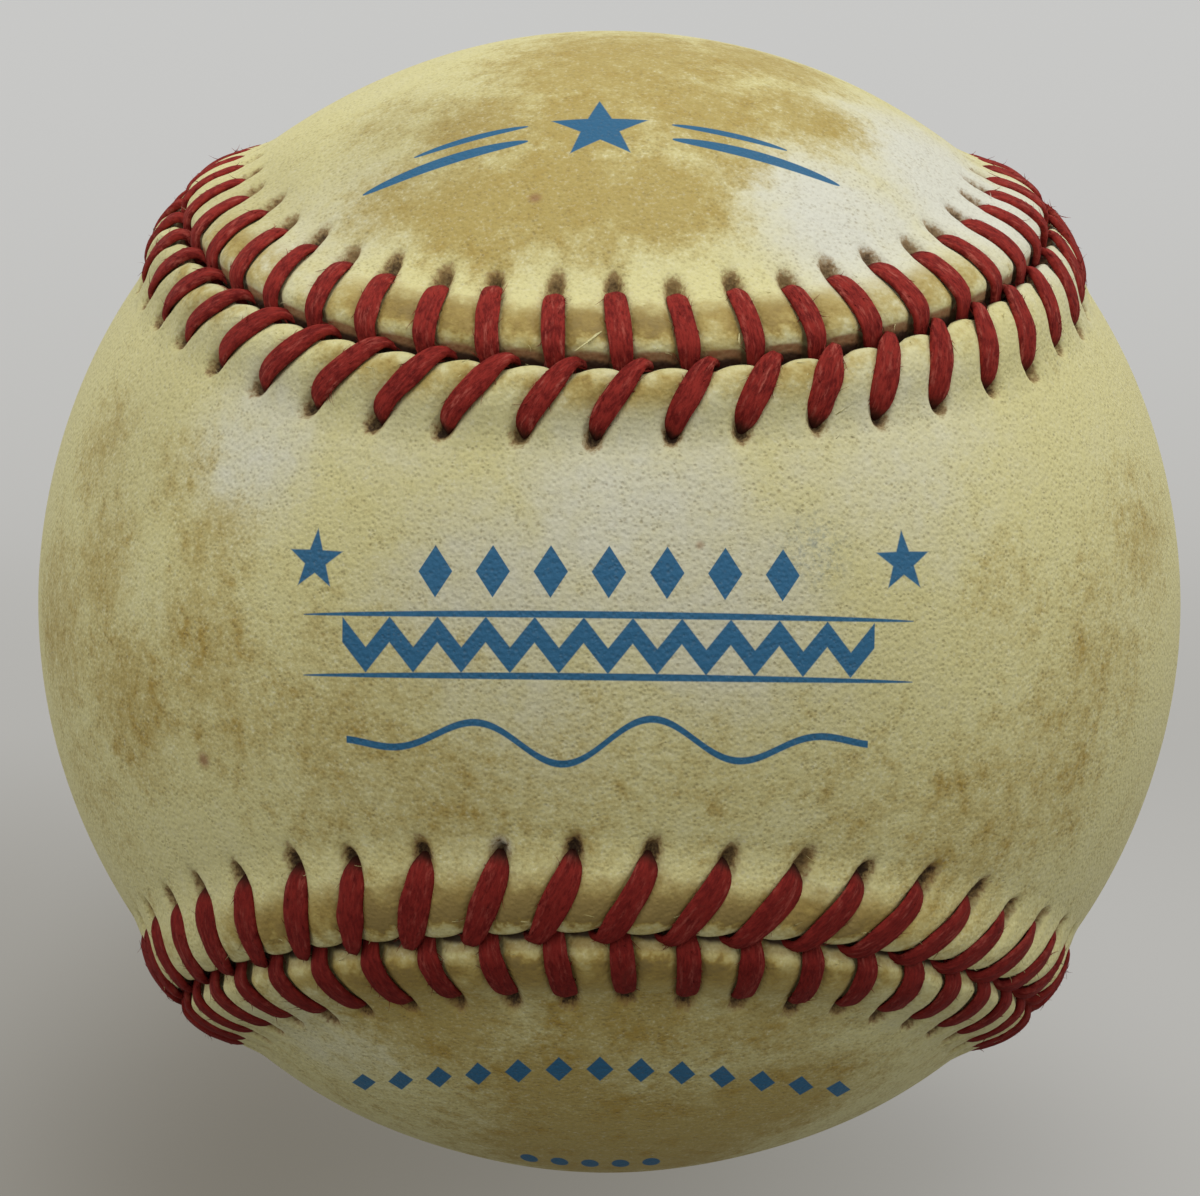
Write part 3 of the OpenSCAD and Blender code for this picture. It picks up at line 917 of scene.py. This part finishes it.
# Where it is painted greyer, in the same way: partly dust and partly painted shade.
DUST_AND_SHADE = (
    (460, 650, 15, 1), (760, 650, 15, 1), (400, 145, 9, 1.7), (250, 215, 9, 1.6),
    (140, 440, 7, 1), (340, 215, 6, 1), (450, 100, 6, 0.8),
)
# Single specks, a bit of torn leather and smudged ink, in the same way.
SPECKS = ((204, 760, 0.6, 1), (535, 198, 0.5, 0.9), (700, 545, 0.3, 0.7))
TORN = ((501, 847, 0.8, 1),)
SMUDGES = ((815, 552, 3, 1),)
# Stains and pale places out of the photograph's sight, as directions.
FAR_STAINS = (
    ((0.2, 0.95, 0.3), 17, 0.5), ((-0.5, 0.8, -0.2), 14, 0.44), ((0.75, 0.6, -0.35), 15, 0.42),
    ((-0.2, 0.55, 0.85), 13, 0.52), ((0.15, 0.5, -0.85), 17, 0.5), ((-0.95, 0.35, 0.2), 13, 0.45),
)
FAR_PALE = (
    ((-0.3, 0.9, 0.3), 17, 0.5), ((0.6, 0.75, 0.1), 16, 0.45), ((0, 0.8, -0.5), 15, 0.42),
    ((0.4, 0.4, 0.8), 14, 0.52), ((-0.8, 0.5, -0.3), 15, 0.42),
)


def star_mask(sheet, u, v, radius):
    """1 within a five-point star that stands on two points."""
    fifth = 2 * math.pi / 5
    r = sheet.math("SQRT", u * u + v * v)
    turn = sheet.math("ARCTAN2", u, v) / fifth + 10.5
    fold = abs(sheet.math("FRACT", turn) - 0.5) * fifth
    px = r * sheet.math("COSINE", fold)
    py = r * sheet.math("SINE", fold)
    inner = radius * 0.40
    ix, iy = inner * math.cos(fifth / 2), inner * math.sin(fifth / 2)
    nx, ny = iy, radius - ix
    size = math.hypot(nx, ny)
    return sheet.step(0.05, -0.05, px * (nx / size) + py * (ny / size) - radius * nx / size)


def print_mask(sheet, place):
    """Where the plain printed ornament is: stars, lozenges, rules, a zigzag, a wave and dots."""

    def local(x, y, tilt=0.0):
        """Distances right of and above a point, and 1 on its side of the ball."""
        way = spot(x, y)
        axes = (*tangents(way, tilt), way)
        u, v, out = (sheet.measure("DOT_PRODUCT", place, axis) for axis in axes)
        return u, v, out > COVER_R * 0.6

    def beat(u, pitch):
        """Distance from the nearest of some marks that stand a pitch apart."""
        return abs(sheet.math("FRACT", u / pitch + 100.5) - 0.5) * pitch

    def rule(u, v, half, thick):
        """A level line with tapered ends."""
        taper = sheet.math("MAXIMUM", 1 - (u / half) ** 2, 0.0)
        line = sheet.step(0.04, -0.04, abs(v) - sheet.math("SQRT", taper) * thick)
        return line * (abs(u) < half * 0.995)

    masks = []
    for x, y in ((315, 560), (903, 562)):
        u, v, here = local(x, y)
        masks.append(star_mask(sheet, u, v, 1.8) * here)
    u, v, here = local(609, 572)
    lozenges = sheet.step(1.03, 0.97, beat(u, 3.2) / 0.95 + abs(v) / 1.45)
    zigzag = sheet.step(0.48, 0.40, abs(v + 4.05 - (beat(u, 2.7) - 0.675) * 1.25) * 0.62)
    wave = sheet.math("SINE", u * 0.62) * (1 - (u / 15.0) ** 2) * 1.3
    wave = sheet.step(0.24, 0.16, abs(v + 9.3 - wave))
    for mask, half in ((lozenges, 11.2), (zigzag, 14.85), (wave, 14.6)):
        masks.append(mask * (abs(u) < half) * here)
    for drop in (2.35, 5.75):
        masks.append(rule(u, v + drop, 17.2, 0.20) * here)
    u, v, here = local(600, 128, 0.05)
    masks.append(star_mask(sheet, u, v, 3.0) * here)
    side = abs(u)
    for start, end, drop, thick in ((4.2, 14.0, 0.75, 0.46), (4.2, 11.0, -0.75, 0.28)):
        curve = v + drop + side * side * 0.008
        masks.append(rule(side - (start + end) / 2, curve, (end - start) / 2, thick) * here)
    u, v, here = local(600, 1072)
    off = beat(u, 2.4) / 0.80 + abs(v + u * u * 0.034 - 0.3) / 1.25
    masks.append(sheet.step(1.06, 0.94, off) * (abs(u) < 15.6) * here)
    u, v, here = local(590, 1163)
    off = sheet.math("SQRT", beat(u, 1.9) ** 2 + v * v * 0.2)
    masks.append(sheet.step(0.60, 0.50, off) * (abs(u) < 4.7) * here)
    return sheet.largest(*masks)


def leather(colours):
    """Worn white leather with handling stains, pores, sewing dirt, painted shade and plain print.
    """
    sheet = Sheet("worn_cream_leather")
    place = sheet.place()
    _, _, z = sheet.axes(place)
    at, leg, hollow = sheet.axes(sheet.mark("sewing", "Vector"))
    cut = sheet.mark("cut", "Fac")
    soil = sheet.mark("soil", "Fac")
    # Unevenness from broad to fine, about zero.
    patch, blotch, mottle, grain, speckle = (
        sheet.noise(place, *kind) - 0.5
        for kind in ((0.14, 5, 0.62), (0.45, 4, 0.6), (1.1, 3, 0.6), (3.4, 3, 0.65), (5.5, 2, 0.6))
    )

    def spots(rows, far=()):
        """The strongest of some soft round spots."""
        parts = []
        for way, radius, strength in [(spot(x, y), r, k) for x, y, r, k in rows] + [*far]:
            away = sheet.measure("DISTANCE", place, unit(np.array(way)) * COVER_R)
            parts.append(sheet.step(1.2, 0.15, away / radius) * strength)
        return sheet.largest(*parts)

    # Yellowed hide with pale places and blotched stains.
    cloud = patch + blotch * 0.8 + mottle * 0.45
    warmth = 1 - spots(PALE, FAR_PALE) + cloud * 0.60
    # Towards the bottom the stains and their deep middles grow stronger, so the hide is darker
    # there.
    low = sheet.step(10, -32, z)
    cloud = cloud + mottle * 0.55 + grain * 0.6 + speckle * 0.5
    stained = sheet.step(0.12, 1.12, spots(STAINS, FAR_STAINS) + cloud * 0.85 + low * 0.30)
    deep = stained * sheet.step(-0.08, 0.22, blotch) * sheet.step(-0.15, 0.15, mottle)
    deep = deep * (0.40 + sheet.step(16, -8, z) * 0.40)
    shade = mottle * 0.35 + (grain + speckle) * 0.9

    # Pores: small dark specks of uneven strength, weaker on the sewn border.
    def pores(scale, radius):
        apart, chance = sheet.cells(place, scale, "F1", "Distance", "Color")
        chance, size, _ = sheet.axes(chance)
        speck = sheet.step(1.0, 0.10, apart / (radius * (0.7 + size * 0.6)))
        return speck * (0.3 + chance * 0.7), apart

    fine, bead = pores(3.5, 0.46)
    coarse, _ = pores(2.1, 0.28)
    pit = sheet.largest(fine * 0.8, coarse) * (0.35 + sheet.step(3.0, 6.5, at) * 0.65)
    pit = pit * (0.40 + sheet.step(-0.15, 0.15, blotch) * 0.60)

    # The tabs between the stitches are stained on their crowns.
    reach = at + mottle * 2.2 + blotch * 2.4
    crown = sheet.step(0.40, 0.90, leg) * sheet.step(0.4, 1.5, reach) * sheet.step(4.7, 2.6, reach)
    rubbed = spots(HANDLED) + blotch * 1.1 + mottle * 0.8 + grain * 0.4 + 0.15
    worn = rubbed * sheet.step(0.3, 2.0, reach)

    # Raw leather at the cut edges, darker as painted shade on the upper seam, with painted shade
    # down in the gap.
    raw_and_shade = sheet.math("MINIMUM", cut, 1.0) * (0.95 + grain * 0.4)
    gap_shade = sheet.step(0.10, 0.20, cut) * sheet.step(0.54, 0.30, at + mottle * 0.3)
    gap_shade = sheet.largest(sheet.step(0.30, 0.02, at), gap_shade)

    # Dirt round the holes, dirt and painted shade inside them, and painted shade in the groove
    # beside the thread.
    ragged = hollow + grain * 1.6 + mottle * 0.9
    halo = sheet.step(1.60, 0.85, ragged)
    core = sheet.step(1.10, 0.55, ragged) * sheet.step(-0.15, 0.9, soil + speckle * 1.2)
    beside = sheet.step(0.76, 0.60, leg + grain * 0.2) * sheet.step(5.6, 4.6, at)

    ink = print_mask(sheet, place) * (1 - sheet.step(0.10, 0.30, grain) * 0.12 - pit * 0.08)
    smudge = spots(SMUDGES) * sheet.step(-0.12, 0.25, grain) * 0.35
    colour = sheet.coat(
        colours.cream,
        (sheet.step(-0.05, 1.05, warmth), colours.warm_cream),
        (stained, colours.stain),
        (deep, colours.deep_stain),
        (spots(DUST_AND_SHADE) * 0.14, colours.grime_and_shade),
        (sheet.step(0.02, 0.50, shade) * 0.42, colours.grime_and_shade),
        (sheet.step(-0.02, -0.45, shade) * 0.35, colours.bleached),
        (pit * 0.58, colours.pore),
        (spots(SPECKS) * 0.8, colours.raw_edge_and_shade),
        (crown * sheet.step(0.25, 0.85, rubbed) * 0.85, colours.stain),
        (crown * sheet.step(0.55, 1.35, worn) * 0.9, colours.deep_stain),
        (crown * sheet.step(0.70, 1.50, worn) * 0.62, colours.grime_and_shade),
        (raw_and_shade, colours.raw_edge_and_shade),
        (gap_shade * 0.93, colours.hole),
        (beside * 0.45, colours.grime_and_shade),
        (halo * 0.85, colours.soiled),
        (core * 0.95, colours.hole),
        (spots(TORN) * sheet.step(-0.15, 0.05, grain) * 0.7, colours.bleached),
        (sheet.largest(ink * 0.98, smudge), colours.ink),
    )
    rough = 0.58 + stained * 0.08 + grain * 0.12 + halo * 0.2
    relief = grain * 0.055 + mottle * 0.035 + bead * 0.045 - pit * 0.045
    return sheet.finish(colour, rough, relief, 0.9, Specular_IOR_Level=0.28)


def waxed_thread(colours):
    """Red cotton thread, waxed, with lengthwise fibres, dirt, and painted highlights and shade."""
    sheet = Sheet("waxed_red_thread")
    across, along, number = sheet.axes(sheet.mark("lay", "Vector"))
    lift = sheet.mark("lift", "Fac")
    place = sheet.place()
    _, _, z = sheet.axes(place)

    def lay(width, length):
        sockets = {0: across * width, 1: along * length, 2: number * 3.7}
        return sheet.node("CombineXYZ", {}, sockets)

    fibre = sheet.noise(lay(6.5, 1.8), 1.0, 5.0, 0.75)
    strand = sheet.noise(lay(3.4, 0.6), 1.0, 2.0)
    mottle = sheet.noise(place, 0.9, 4.0, 0.6)
    # Painted highlights on the raised fibres; the fibres between them take the shaded colour.
    fibre_highlight = sheet.step(0.50, 0.72, strand) * sheet.step(0.40, 0.65, fibre)
    # Painted shade where the thread sinks below the leather into its holes.
    dirt_and_shade = sheet.step(0.28, -0.45, lift + (mottle - 0.5) * 0.4) * 0.85
    smear = sheet.step(0.62, 0.78, mottle) * 0.45
    colour = sheet.coat(
        colours.thread_deep,
        (sheet.step(0.34, 0.62, fibre * 0.7 + mottle * 0.3), colours.thread),
        (fibre_highlight * 0.75, colours.thread_highlight),
        # Painted shade: the thread darkens towards the bottom of the ball.
        (sheet.step(10.0, -22.0, z) * 0.45, colours.thread_deep),
        (sheet.largest(dirt_and_shade, smear), colours.hole),
    )
    relief = fibre * 0.09 + strand * 0.06
    return sheet.finish(colour, 0.70 + fibre * 0.2, relief, 0.7, Specular_IOR_Level=0.12)


def cork_and_rubber(name, base, fleck):
    """Moulded cork and rubber composition."""
    sheet = Sheet(name)
    place = sheet.place()
    tone, _, _ = sheet.axes(sheet.cells(place, 1.1, "F1", "Color"))
    joint = sheet.cells(place, 1.1, "DISTANCE_TO_EDGE")
    dark = (sheet.step(0.10, 0.0, joint) * 0.7, (0.03, 0.02, 0.015, 1))
    colour = sheet.coat(base, (sheet.step(0.2, 0.9, tone), fleck), dark)
    return sheet.finish(colour, 0.75 + tone * 0.1, sheet.step(0.0, 0.2, joint) * 0.12, 0.7)


def moulded_rubber(name, base, bloom):
    """Vulcanised rubber with a faint bloom and mould grain."""
    sheet = Sheet(name)
    place = sheet.place()
    cloud = sheet.noise(place, 0.2, 4.0)
    colour = sheet.coat(base, (sheet.step(0.35, 0.75, cloud) * 0.5, bloom))
    return sheet.finish(colour, 0.52 + cloud * 0.2, sheet.noise(place, 4.0, 2.0) * 0.05, 0.5)


# The poles and starts of the three sets of turns that cross on a winding.
TURNS = (((0.3, 0.2, 0.93), 0.0), ((0.9, -0.3, 0.2), 2.1), ((-0.2, 0.92, 0.3), 4.0))


def wound_yarn(name, pale, dark, pitch, fuzz):
    """Yarn wound all over in crossing turns, with painted shade between the turns."""
    sheet = Sheet(name)
    place = sheet.place()
    warp = sheet.noise(place, 0.09, 2.0)
    layers = []
    for pole, start in TURNS:
        reach = sheet.measure("DOT_PRODUCT", place, unit(np.array(pole))) + warp * 9.0
        layers.append(sheet.math("SINE", reach * (2 * math.pi / pitch) + start) * 0.5 + 0.5)
    pick = sheet.noise(place, 0.12, 1.0)
    first = sheet.step(0.46, 0.49, pick)
    second = sheet.step(0.56, 0.59, pick)
    strands = layers[0] * (1 - first) + layers[1] * first * (1 - second) + layers[2] * second
    hair = sheet.noise(place, fuzz, 4.0, 0.7)
    # Painted shade in the valleys between the turns.
    colour = sheet.coat(dark, (sheet.step(0.05, 0.75, strands) * (0.6 + hair * 0.4), pale))
    return sheet.finish(colour, 0.9, strands * 0.5 + hair * 0.12, 0.8, Sheen_Weight=0.3)


def colour_property(name, description, *rgb):
    return FloatVectorProperty(
        name=name, description=description, default=(*rgb, 1.0),
        size=4, subtype="COLOR", min=0, max=1,
    )


class BallSizes(PropertyGroup):
    stitches: IntProperty(
        name="Stitches", description="Stitches along each panel's edge",
        default=108, min=92, max=120,
    )
    waist: FloatProperty(
        name="Waist", description="Distance over the ball between the seams at a panel's waist",
        default=0.0314, unit="LENGTH",
    )
    hole_reach: FloatProperty(
        name="Hole Distance", description="Distance of the holes from the seam's middle",
        default=0.0049, unit="LENGTH",
    )
    seed: IntProperty(name="Seed", description="Start of the small sewing errors", default=7)


class BallColours(PropertyGroup):
    cream: colour_property("Cream", "Clean leather", 0.71, 0.70, 0.58)
    warm_cream: colour_property("Warm Cream", "Leather that has yellowed", 0.71, 0.65, 0.30)
    bleached: colour_property("Bleached", "Crests of the grain", 0.86, 0.84, 0.66)
    stain: colour_property("Stain", "Leather darkened by handling", 0.475, 0.365, 0.110)
    deep_stain: colour_property("Deep Stain", "Middles of the stains", 0.40, 0.252, 0.032)
    pore: colour_property("Pore", "Pits of the grain", 0.30, 0.23, 0.095)
    # Also painted shade beside the thread and on the greyed places.
    grime_and_shade: colour_property("Grime", "Dirt in the pores and beside the thread", 0.20, 0.155, 0.07)
    soiled: colour_property("Soiled", "Soiled leather round the holes", 0.29, 0.165, 0.055)
    # The hole colour is painted shade down the gap and where the thread sinks, and dirt and
    # painted shade in the holes.
    hole: colour_property("Hole", "Dirt in the holes and the gap", 0.038, 0.017, 0.010)
    # Its dark brown is partly painted shade, for the cut edge that faces down on the upper seam.
    raw_edge_and_shade: colour_property("Raw Edge", "Cut leather", 0.30, 0.14, 0.06)
    ink: colour_property("Ink", "Printed ornament", 0.014, 0.125, 0.255)
    thread: colour_property("Thread", "Lit fibres of the thread", 0.33, 0.031, 0.022)
    thread_deep: colour_property("Deep Thread", "Fibres in the shade", 0.12, 0.007, 0.006)
    # Painted highlights on the raised fibres of the thread.
    thread_highlight: colour_property("Bright Thread", "Rubbed fibres", 0.48, 0.130, 0.095)


def strength_property(name, description, default):
    return FloatProperty(name=name, description=description, default=default)


class StageSettings(PropertyGroup):
    pale: colour_property("Pale Paper", "Backdrop behind the ball", 0.65, 0.65, 0.64)
    shaded: colour_property("Shaded Paper", "Floor before the ball", 0.235, 0.218, 0.183)
    key_power: strength_property("Key Light", "Power of the light over the ball", 1.5)
    fill_power: strength_property("Fill Light", "Power of the light by the camera", 0.25)
    sky: strength_property("Room Light Above", "Strength of the light from above", 0.80)
    walls: strength_property("Room Light Beside", "Added light from the sides", 0.12)
    ground: strength_property("Room Light Below", "Strength of the light from below", 0.165)


def stitching_of(context):
    sizes = context.scene.ball_sizes
    return Stitching(Seam(COVER_R, sizes.waist / MM, sizes.stitches), sizes)


def hand_over(piece, material, node):
    """Gives a piece its material and its place in the frame."""
    piece.data.materials.append(material)
    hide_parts(node)
    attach(piece, "root")


class BALL_OT_cover_panels(Operator):
    """Builds the two leather panels of the cover"""

    bl_idname = "ball.cover_panels"
    bl_label = "Cover Panels"

    def execute(self, context):
        hide, stitching = leather(context.scene.ball_colours), stitching_of(context)
        for name, node, side in (
            ("front_panel", "front_cover_panel", FRONT),
            ("back_panel", "back_cover_panel", BACK),
        ):
            hand_over(cover_panel(name, side, stitching), hide, node)
        return {"FINISHED"}


class BALL_OT_thread_halves(Operator):
    """Sews the two halves of the thread"""

    bl_idname = "ball.thread_halves"
    bl_label = "Thread Halves"

    def execute(self, context):
        cotton, stitching = waxed_thread(context.scene.ball_colours), stitching_of(context)
        for name, node, first in (
            ("first_thread", "thread_first_half", FRONT),
            ("second_thread", "thread_second_half", BACK),
        ):
            hand_over(thread_half(name, first, stitching), cotton, node)
        return {"FINISHED"}


CORK = (0.30, 0.16, 0.08, 1)
FLECKS = (0.52, 0.34, 0.19, 1)
BLACK_RUBBER = (0.02, 0.02, 0.022, 1)
GREY_BLOOM = (0.07, 0.07, 0.075, 1)
RED_RUBBER = (0.36, 0.03, 0.02, 1)
PINK_BLOOM = (0.45, 0.10, 0.08, 1)
# Each winding's name, pale colour, colour of the painted shade between turns, yarn width and fuzz
# scale.
WINDINGS = (
    ("grey_four_ply", (0.34, 0.33, 0.31, 1), (0.10, 0.10, 0.09, 1), 2.0, 2.4),
    ("white_three_ply", (0.78, 0.75, 0.66, 1), (0.40, 0.37, 0.30, 1), 1.6, 2.6),
    ("grey_three_ply", (0.38, 0.37, 0.35, 1), (0.12, 0.12, 0.11, 1), 1.6, 2.6),
    ("cotton_finish", (0.82, 0.80, 0.73, 1), (0.45, 0.42, 0.35, 1), 0.8, 4.0),
)


class BALL_OT_inside_finishes(Operator):
    """Gives the core, the shells and the windings their finishes"""

    bl_idname = "ball.inside_finishes"
    bl_label = "Inside Finishes"

    def execute(self, context):
        cork = cork_and_rubber("cork_core_finish", CORK, FLECKS)
        black = moulded_rubber("black_rubber_finish", BLACK_RUBBER, GREY_BLOOM)
        red = moulded_rubber("red_rubber_finish", RED_RUBBER, PINK_BLOOM)
        finishes = {
            "cork_core": cork,
            "black_rubber_half_lower": black,
            "black_rubber_half_upper": black,
            "rubber_washer_lower": red,
            "rubber_washer_upper": red,
            "red_rubber_half_left": red,
            "red_rubber_half_right": red,
        }
        for name, *look in WINDINGS:
            finishes[name + "_winding"] = wound_yarn(name + "_finish", *look)
        for node, material in finishes.items():
            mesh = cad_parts[node].data
            mesh.materials.clear()
            mesh.materials.append(material)
        return {"FINISHED"}


# The backdrop's profile in metres: where its floor starts and ends, the radius of its
# bend, the height of its upright part, half its width and the number of its points.
SWEEP_FRONT = -1.2
SWEEP_BACK = 0.55
SWEEP_BEND = 0.35
SWEEP_RISE = 1.2
SWEEP_HALF_W = 1.8
SWEEP_POINTS = 48
# Shares of the points at which the floor ends and the upright part starts.
SWEEP_SHARES = (0.4, 0.75)
# Name, power setting, size and place of each light.
LIGHTS = (
    ("key_light", "key_power", 0.5, (0.15, -0.22, 0.65)),
    ("fill_light", "fill_power", 0.5, (-0.25, -0.75, 0.10)),
)
# Share of the backdrop's look that is its own colour, without light and shadow.
OWN_GLOW = 0.7


def sweep_profile(t):
    """Place behind the ball and height over the floor at a share of the backdrop's way."""
    floor, upright = SWEEP_SHARES
    if t < floor:
        return SWEEP_FRONT + (SWEEP_BACK - SWEEP_FRONT) * t / floor, 0.0
    if t < upright:
        turn = (t - floor) / (upright - floor) * math.pi / 2
        return SWEEP_BACK + SWEEP_BEND * math.sin(turn), SWEEP_BEND * (1 - math.cos(turn))
    rise = SWEEP_RISE * (t - upright) / (1 - upright)
    return SWEEP_BACK + SWEEP_BEND, SWEEP_BEND + rise


def pale_paper(settings):
    """The floor and backdrop. They show their colour, with a painted shadow of the ball, and keep
    some of the real shadow.
    """
    sheet = Sheet("pale_paper")
    x, y, z = sheet.axes(sheet.place())
    # Painted shadow and shade: the paper darkens towards the front and near the ball, most just
    # left of it.
    far = sheet.step(-60, 1350, y + z * 2)
    beside = sheet.step(-30, 50, x) * 0.58 + sheet.step(-20, -55, x) * 0.26
    clear = sheet.step(60, 260, sheet.math("SQRT", x * x + y * y))
    share = far + (1 - far) * (beside * (1 - clear) + clear * 0.5)
    colour = sheet.coat(settings.shaded, (share, settings.pale))
    sheet.finish(colour, 0.95, Specular_IOR_Level=0.1)
    seen = sheet.node("LightPath", {}, {}, "Is Camera Ray", "Is Glossy Ray", "Is Transmission Ray")
    sockets = {
        0: sheet.largest(*seen) * OWN_GLOW,
        1: Value(sheet, sheet.shader.outputs[0]),
        2: sheet.node("Emission", {}, {"Color": colour}),
    }
    surface = sheet.tree.nodes["Material Output"].inputs["Surface"]
    sheet.feed(surface, sheet.node("MixShader", {}, sockets))
    return sheet.material


class BALL_OT_stage(Operator):
    """Sets up the floor, the backdrop, the lights and the camera"""

    bl_idname = "ball.stage"
    bl_label = "Stage"

    def execute(self, context):
        scene, settings = context.scene, context.scene.ball_stage
        floor_z = CAD_BOX[0][2]
        points = []
        for t in np.linspace(0, 1, SWEEP_POINTS):
            y, z = sweep_profile(t)
            points += [(-SWEEP_HALF_W, y, z + floor_z), (SWEEP_HALF_W, y, z + floor_z)]
        starts = range(0, len(points) - 2, 2)
        mesh = bpy.data.meshes.new("backdrop")
        mesh.from_pydata(points, [], [(n, n + 1, n + 3, n + 2) for n in starts])
        mesh.shade_smooth()
        mesh.materials.append(pale_paper(settings))
        sweep = placed("backdrop", mesh)
        sweep.visible_diffuse = False

        for name, power, size, place in LIGHTS:
            lamp = bpy.data.lights.new(name, "AREA")
            lamp.shape = "DISK"
            lamp.size = size
            lamp.energy = getattr(settings, power)
            stand = placed(name, lamp)
            stand.location = place
            stand.rotation_euler = (-Vector(place)).to_track_quat("-Z", "Y").to_euler()
        world = bpy.data.worlds.new("room")
        scene.world = world
        world.use_nodes = True
        room = Sheet("room", world.node_tree)
        across, _, height = room.axes(room.node("TexCoord", {}, {}, "Generated"))
        above = room.step(-0.30, 0.32, height) * (settings.sky - settings.ground)
        beside = room.step(0.45, 1.0, abs(across)) * settings.walls
        strength = settings.ground + above + beside
        ground = world.node_tree.nodes["Background"]
        room.feed(ground.inputs["Color"], (1, 1, 1, 1))
        room.feed(ground.inputs["Strength"], strength)

        axes, eye, focal = camera_place()
        camera = bpy.data.cameras.new("camera")
        camera.sensor_fit = "HORIZONTAL"
        camera.sensor_width = 36.0
        camera.lens = focal / PHOTO_W * camera.sensor_width
        camera.clip_start = 0.01
        scene.camera = placed("camera", camera)
        turn = Matrix((axes[0], -axes[1], -axes[2])).transposed().to_4x4()
        scene.camera.matrix_world = Matrix.Translation(Vector(eye * MM)) @ turn
        scene.view_settings.view_transform = "Standard"
        return {"FINISHED"}


class BALL_PT_panel(Panel):
    """Lists the steps that build the ball"""

    bl_idname = "BALL_PT_panel"
    bl_label = "Leather Ball"
    bl_space_type = "VIEW_3D"
    bl_region_type = "UI"
    bl_category = "Ball"

    def draw(self, context):
        for step in STEPS:
            self.layout.operator(step.bl_idname)
        scene = context.scene
        for group in (scene.ball_sizes, scene.ball_colours, scene.ball_stage):
            box = self.layout.box()
            for key in group.__annotations__:
                box.prop(group, key)


STEPS = (
    BALL_OT_stage,
    BALL_OT_cover_panels,
    BALL_OT_thread_halves,
    BALL_OT_inside_finishes,
)
CLASSES = (BallSizes, BallColours, StageSettings, *STEPS, BALL_PT_panel)


def register():
    for cls in CLASSES:
        bpy.utils.register_class(cls)
    bpy.types.Scene.ball_sizes = PointerProperty(type=BallSizes)
    bpy.types.Scene.ball_colours = PointerProperty(type=BallColours)
    bpy.types.Scene.ball_stage = PointerProperty(type=StageSettings)


def unregister():
    del bpy.types.Scene.ball_stage
    del bpy.types.Scene.ball_colours
    del bpy.types.Scene.ball_sizes
    for cls in reversed(CLASSES):
        bpy.utils.unregister_class(cls)


def main():
    register()
    bpy.ops.ball.stage()
    bpy.ops.ball.cover_panels()
    bpy.ops.ball.thread_halves()
    bpy.ops.ball.inside_finishes()


if __name__ == "__main__":
    main()
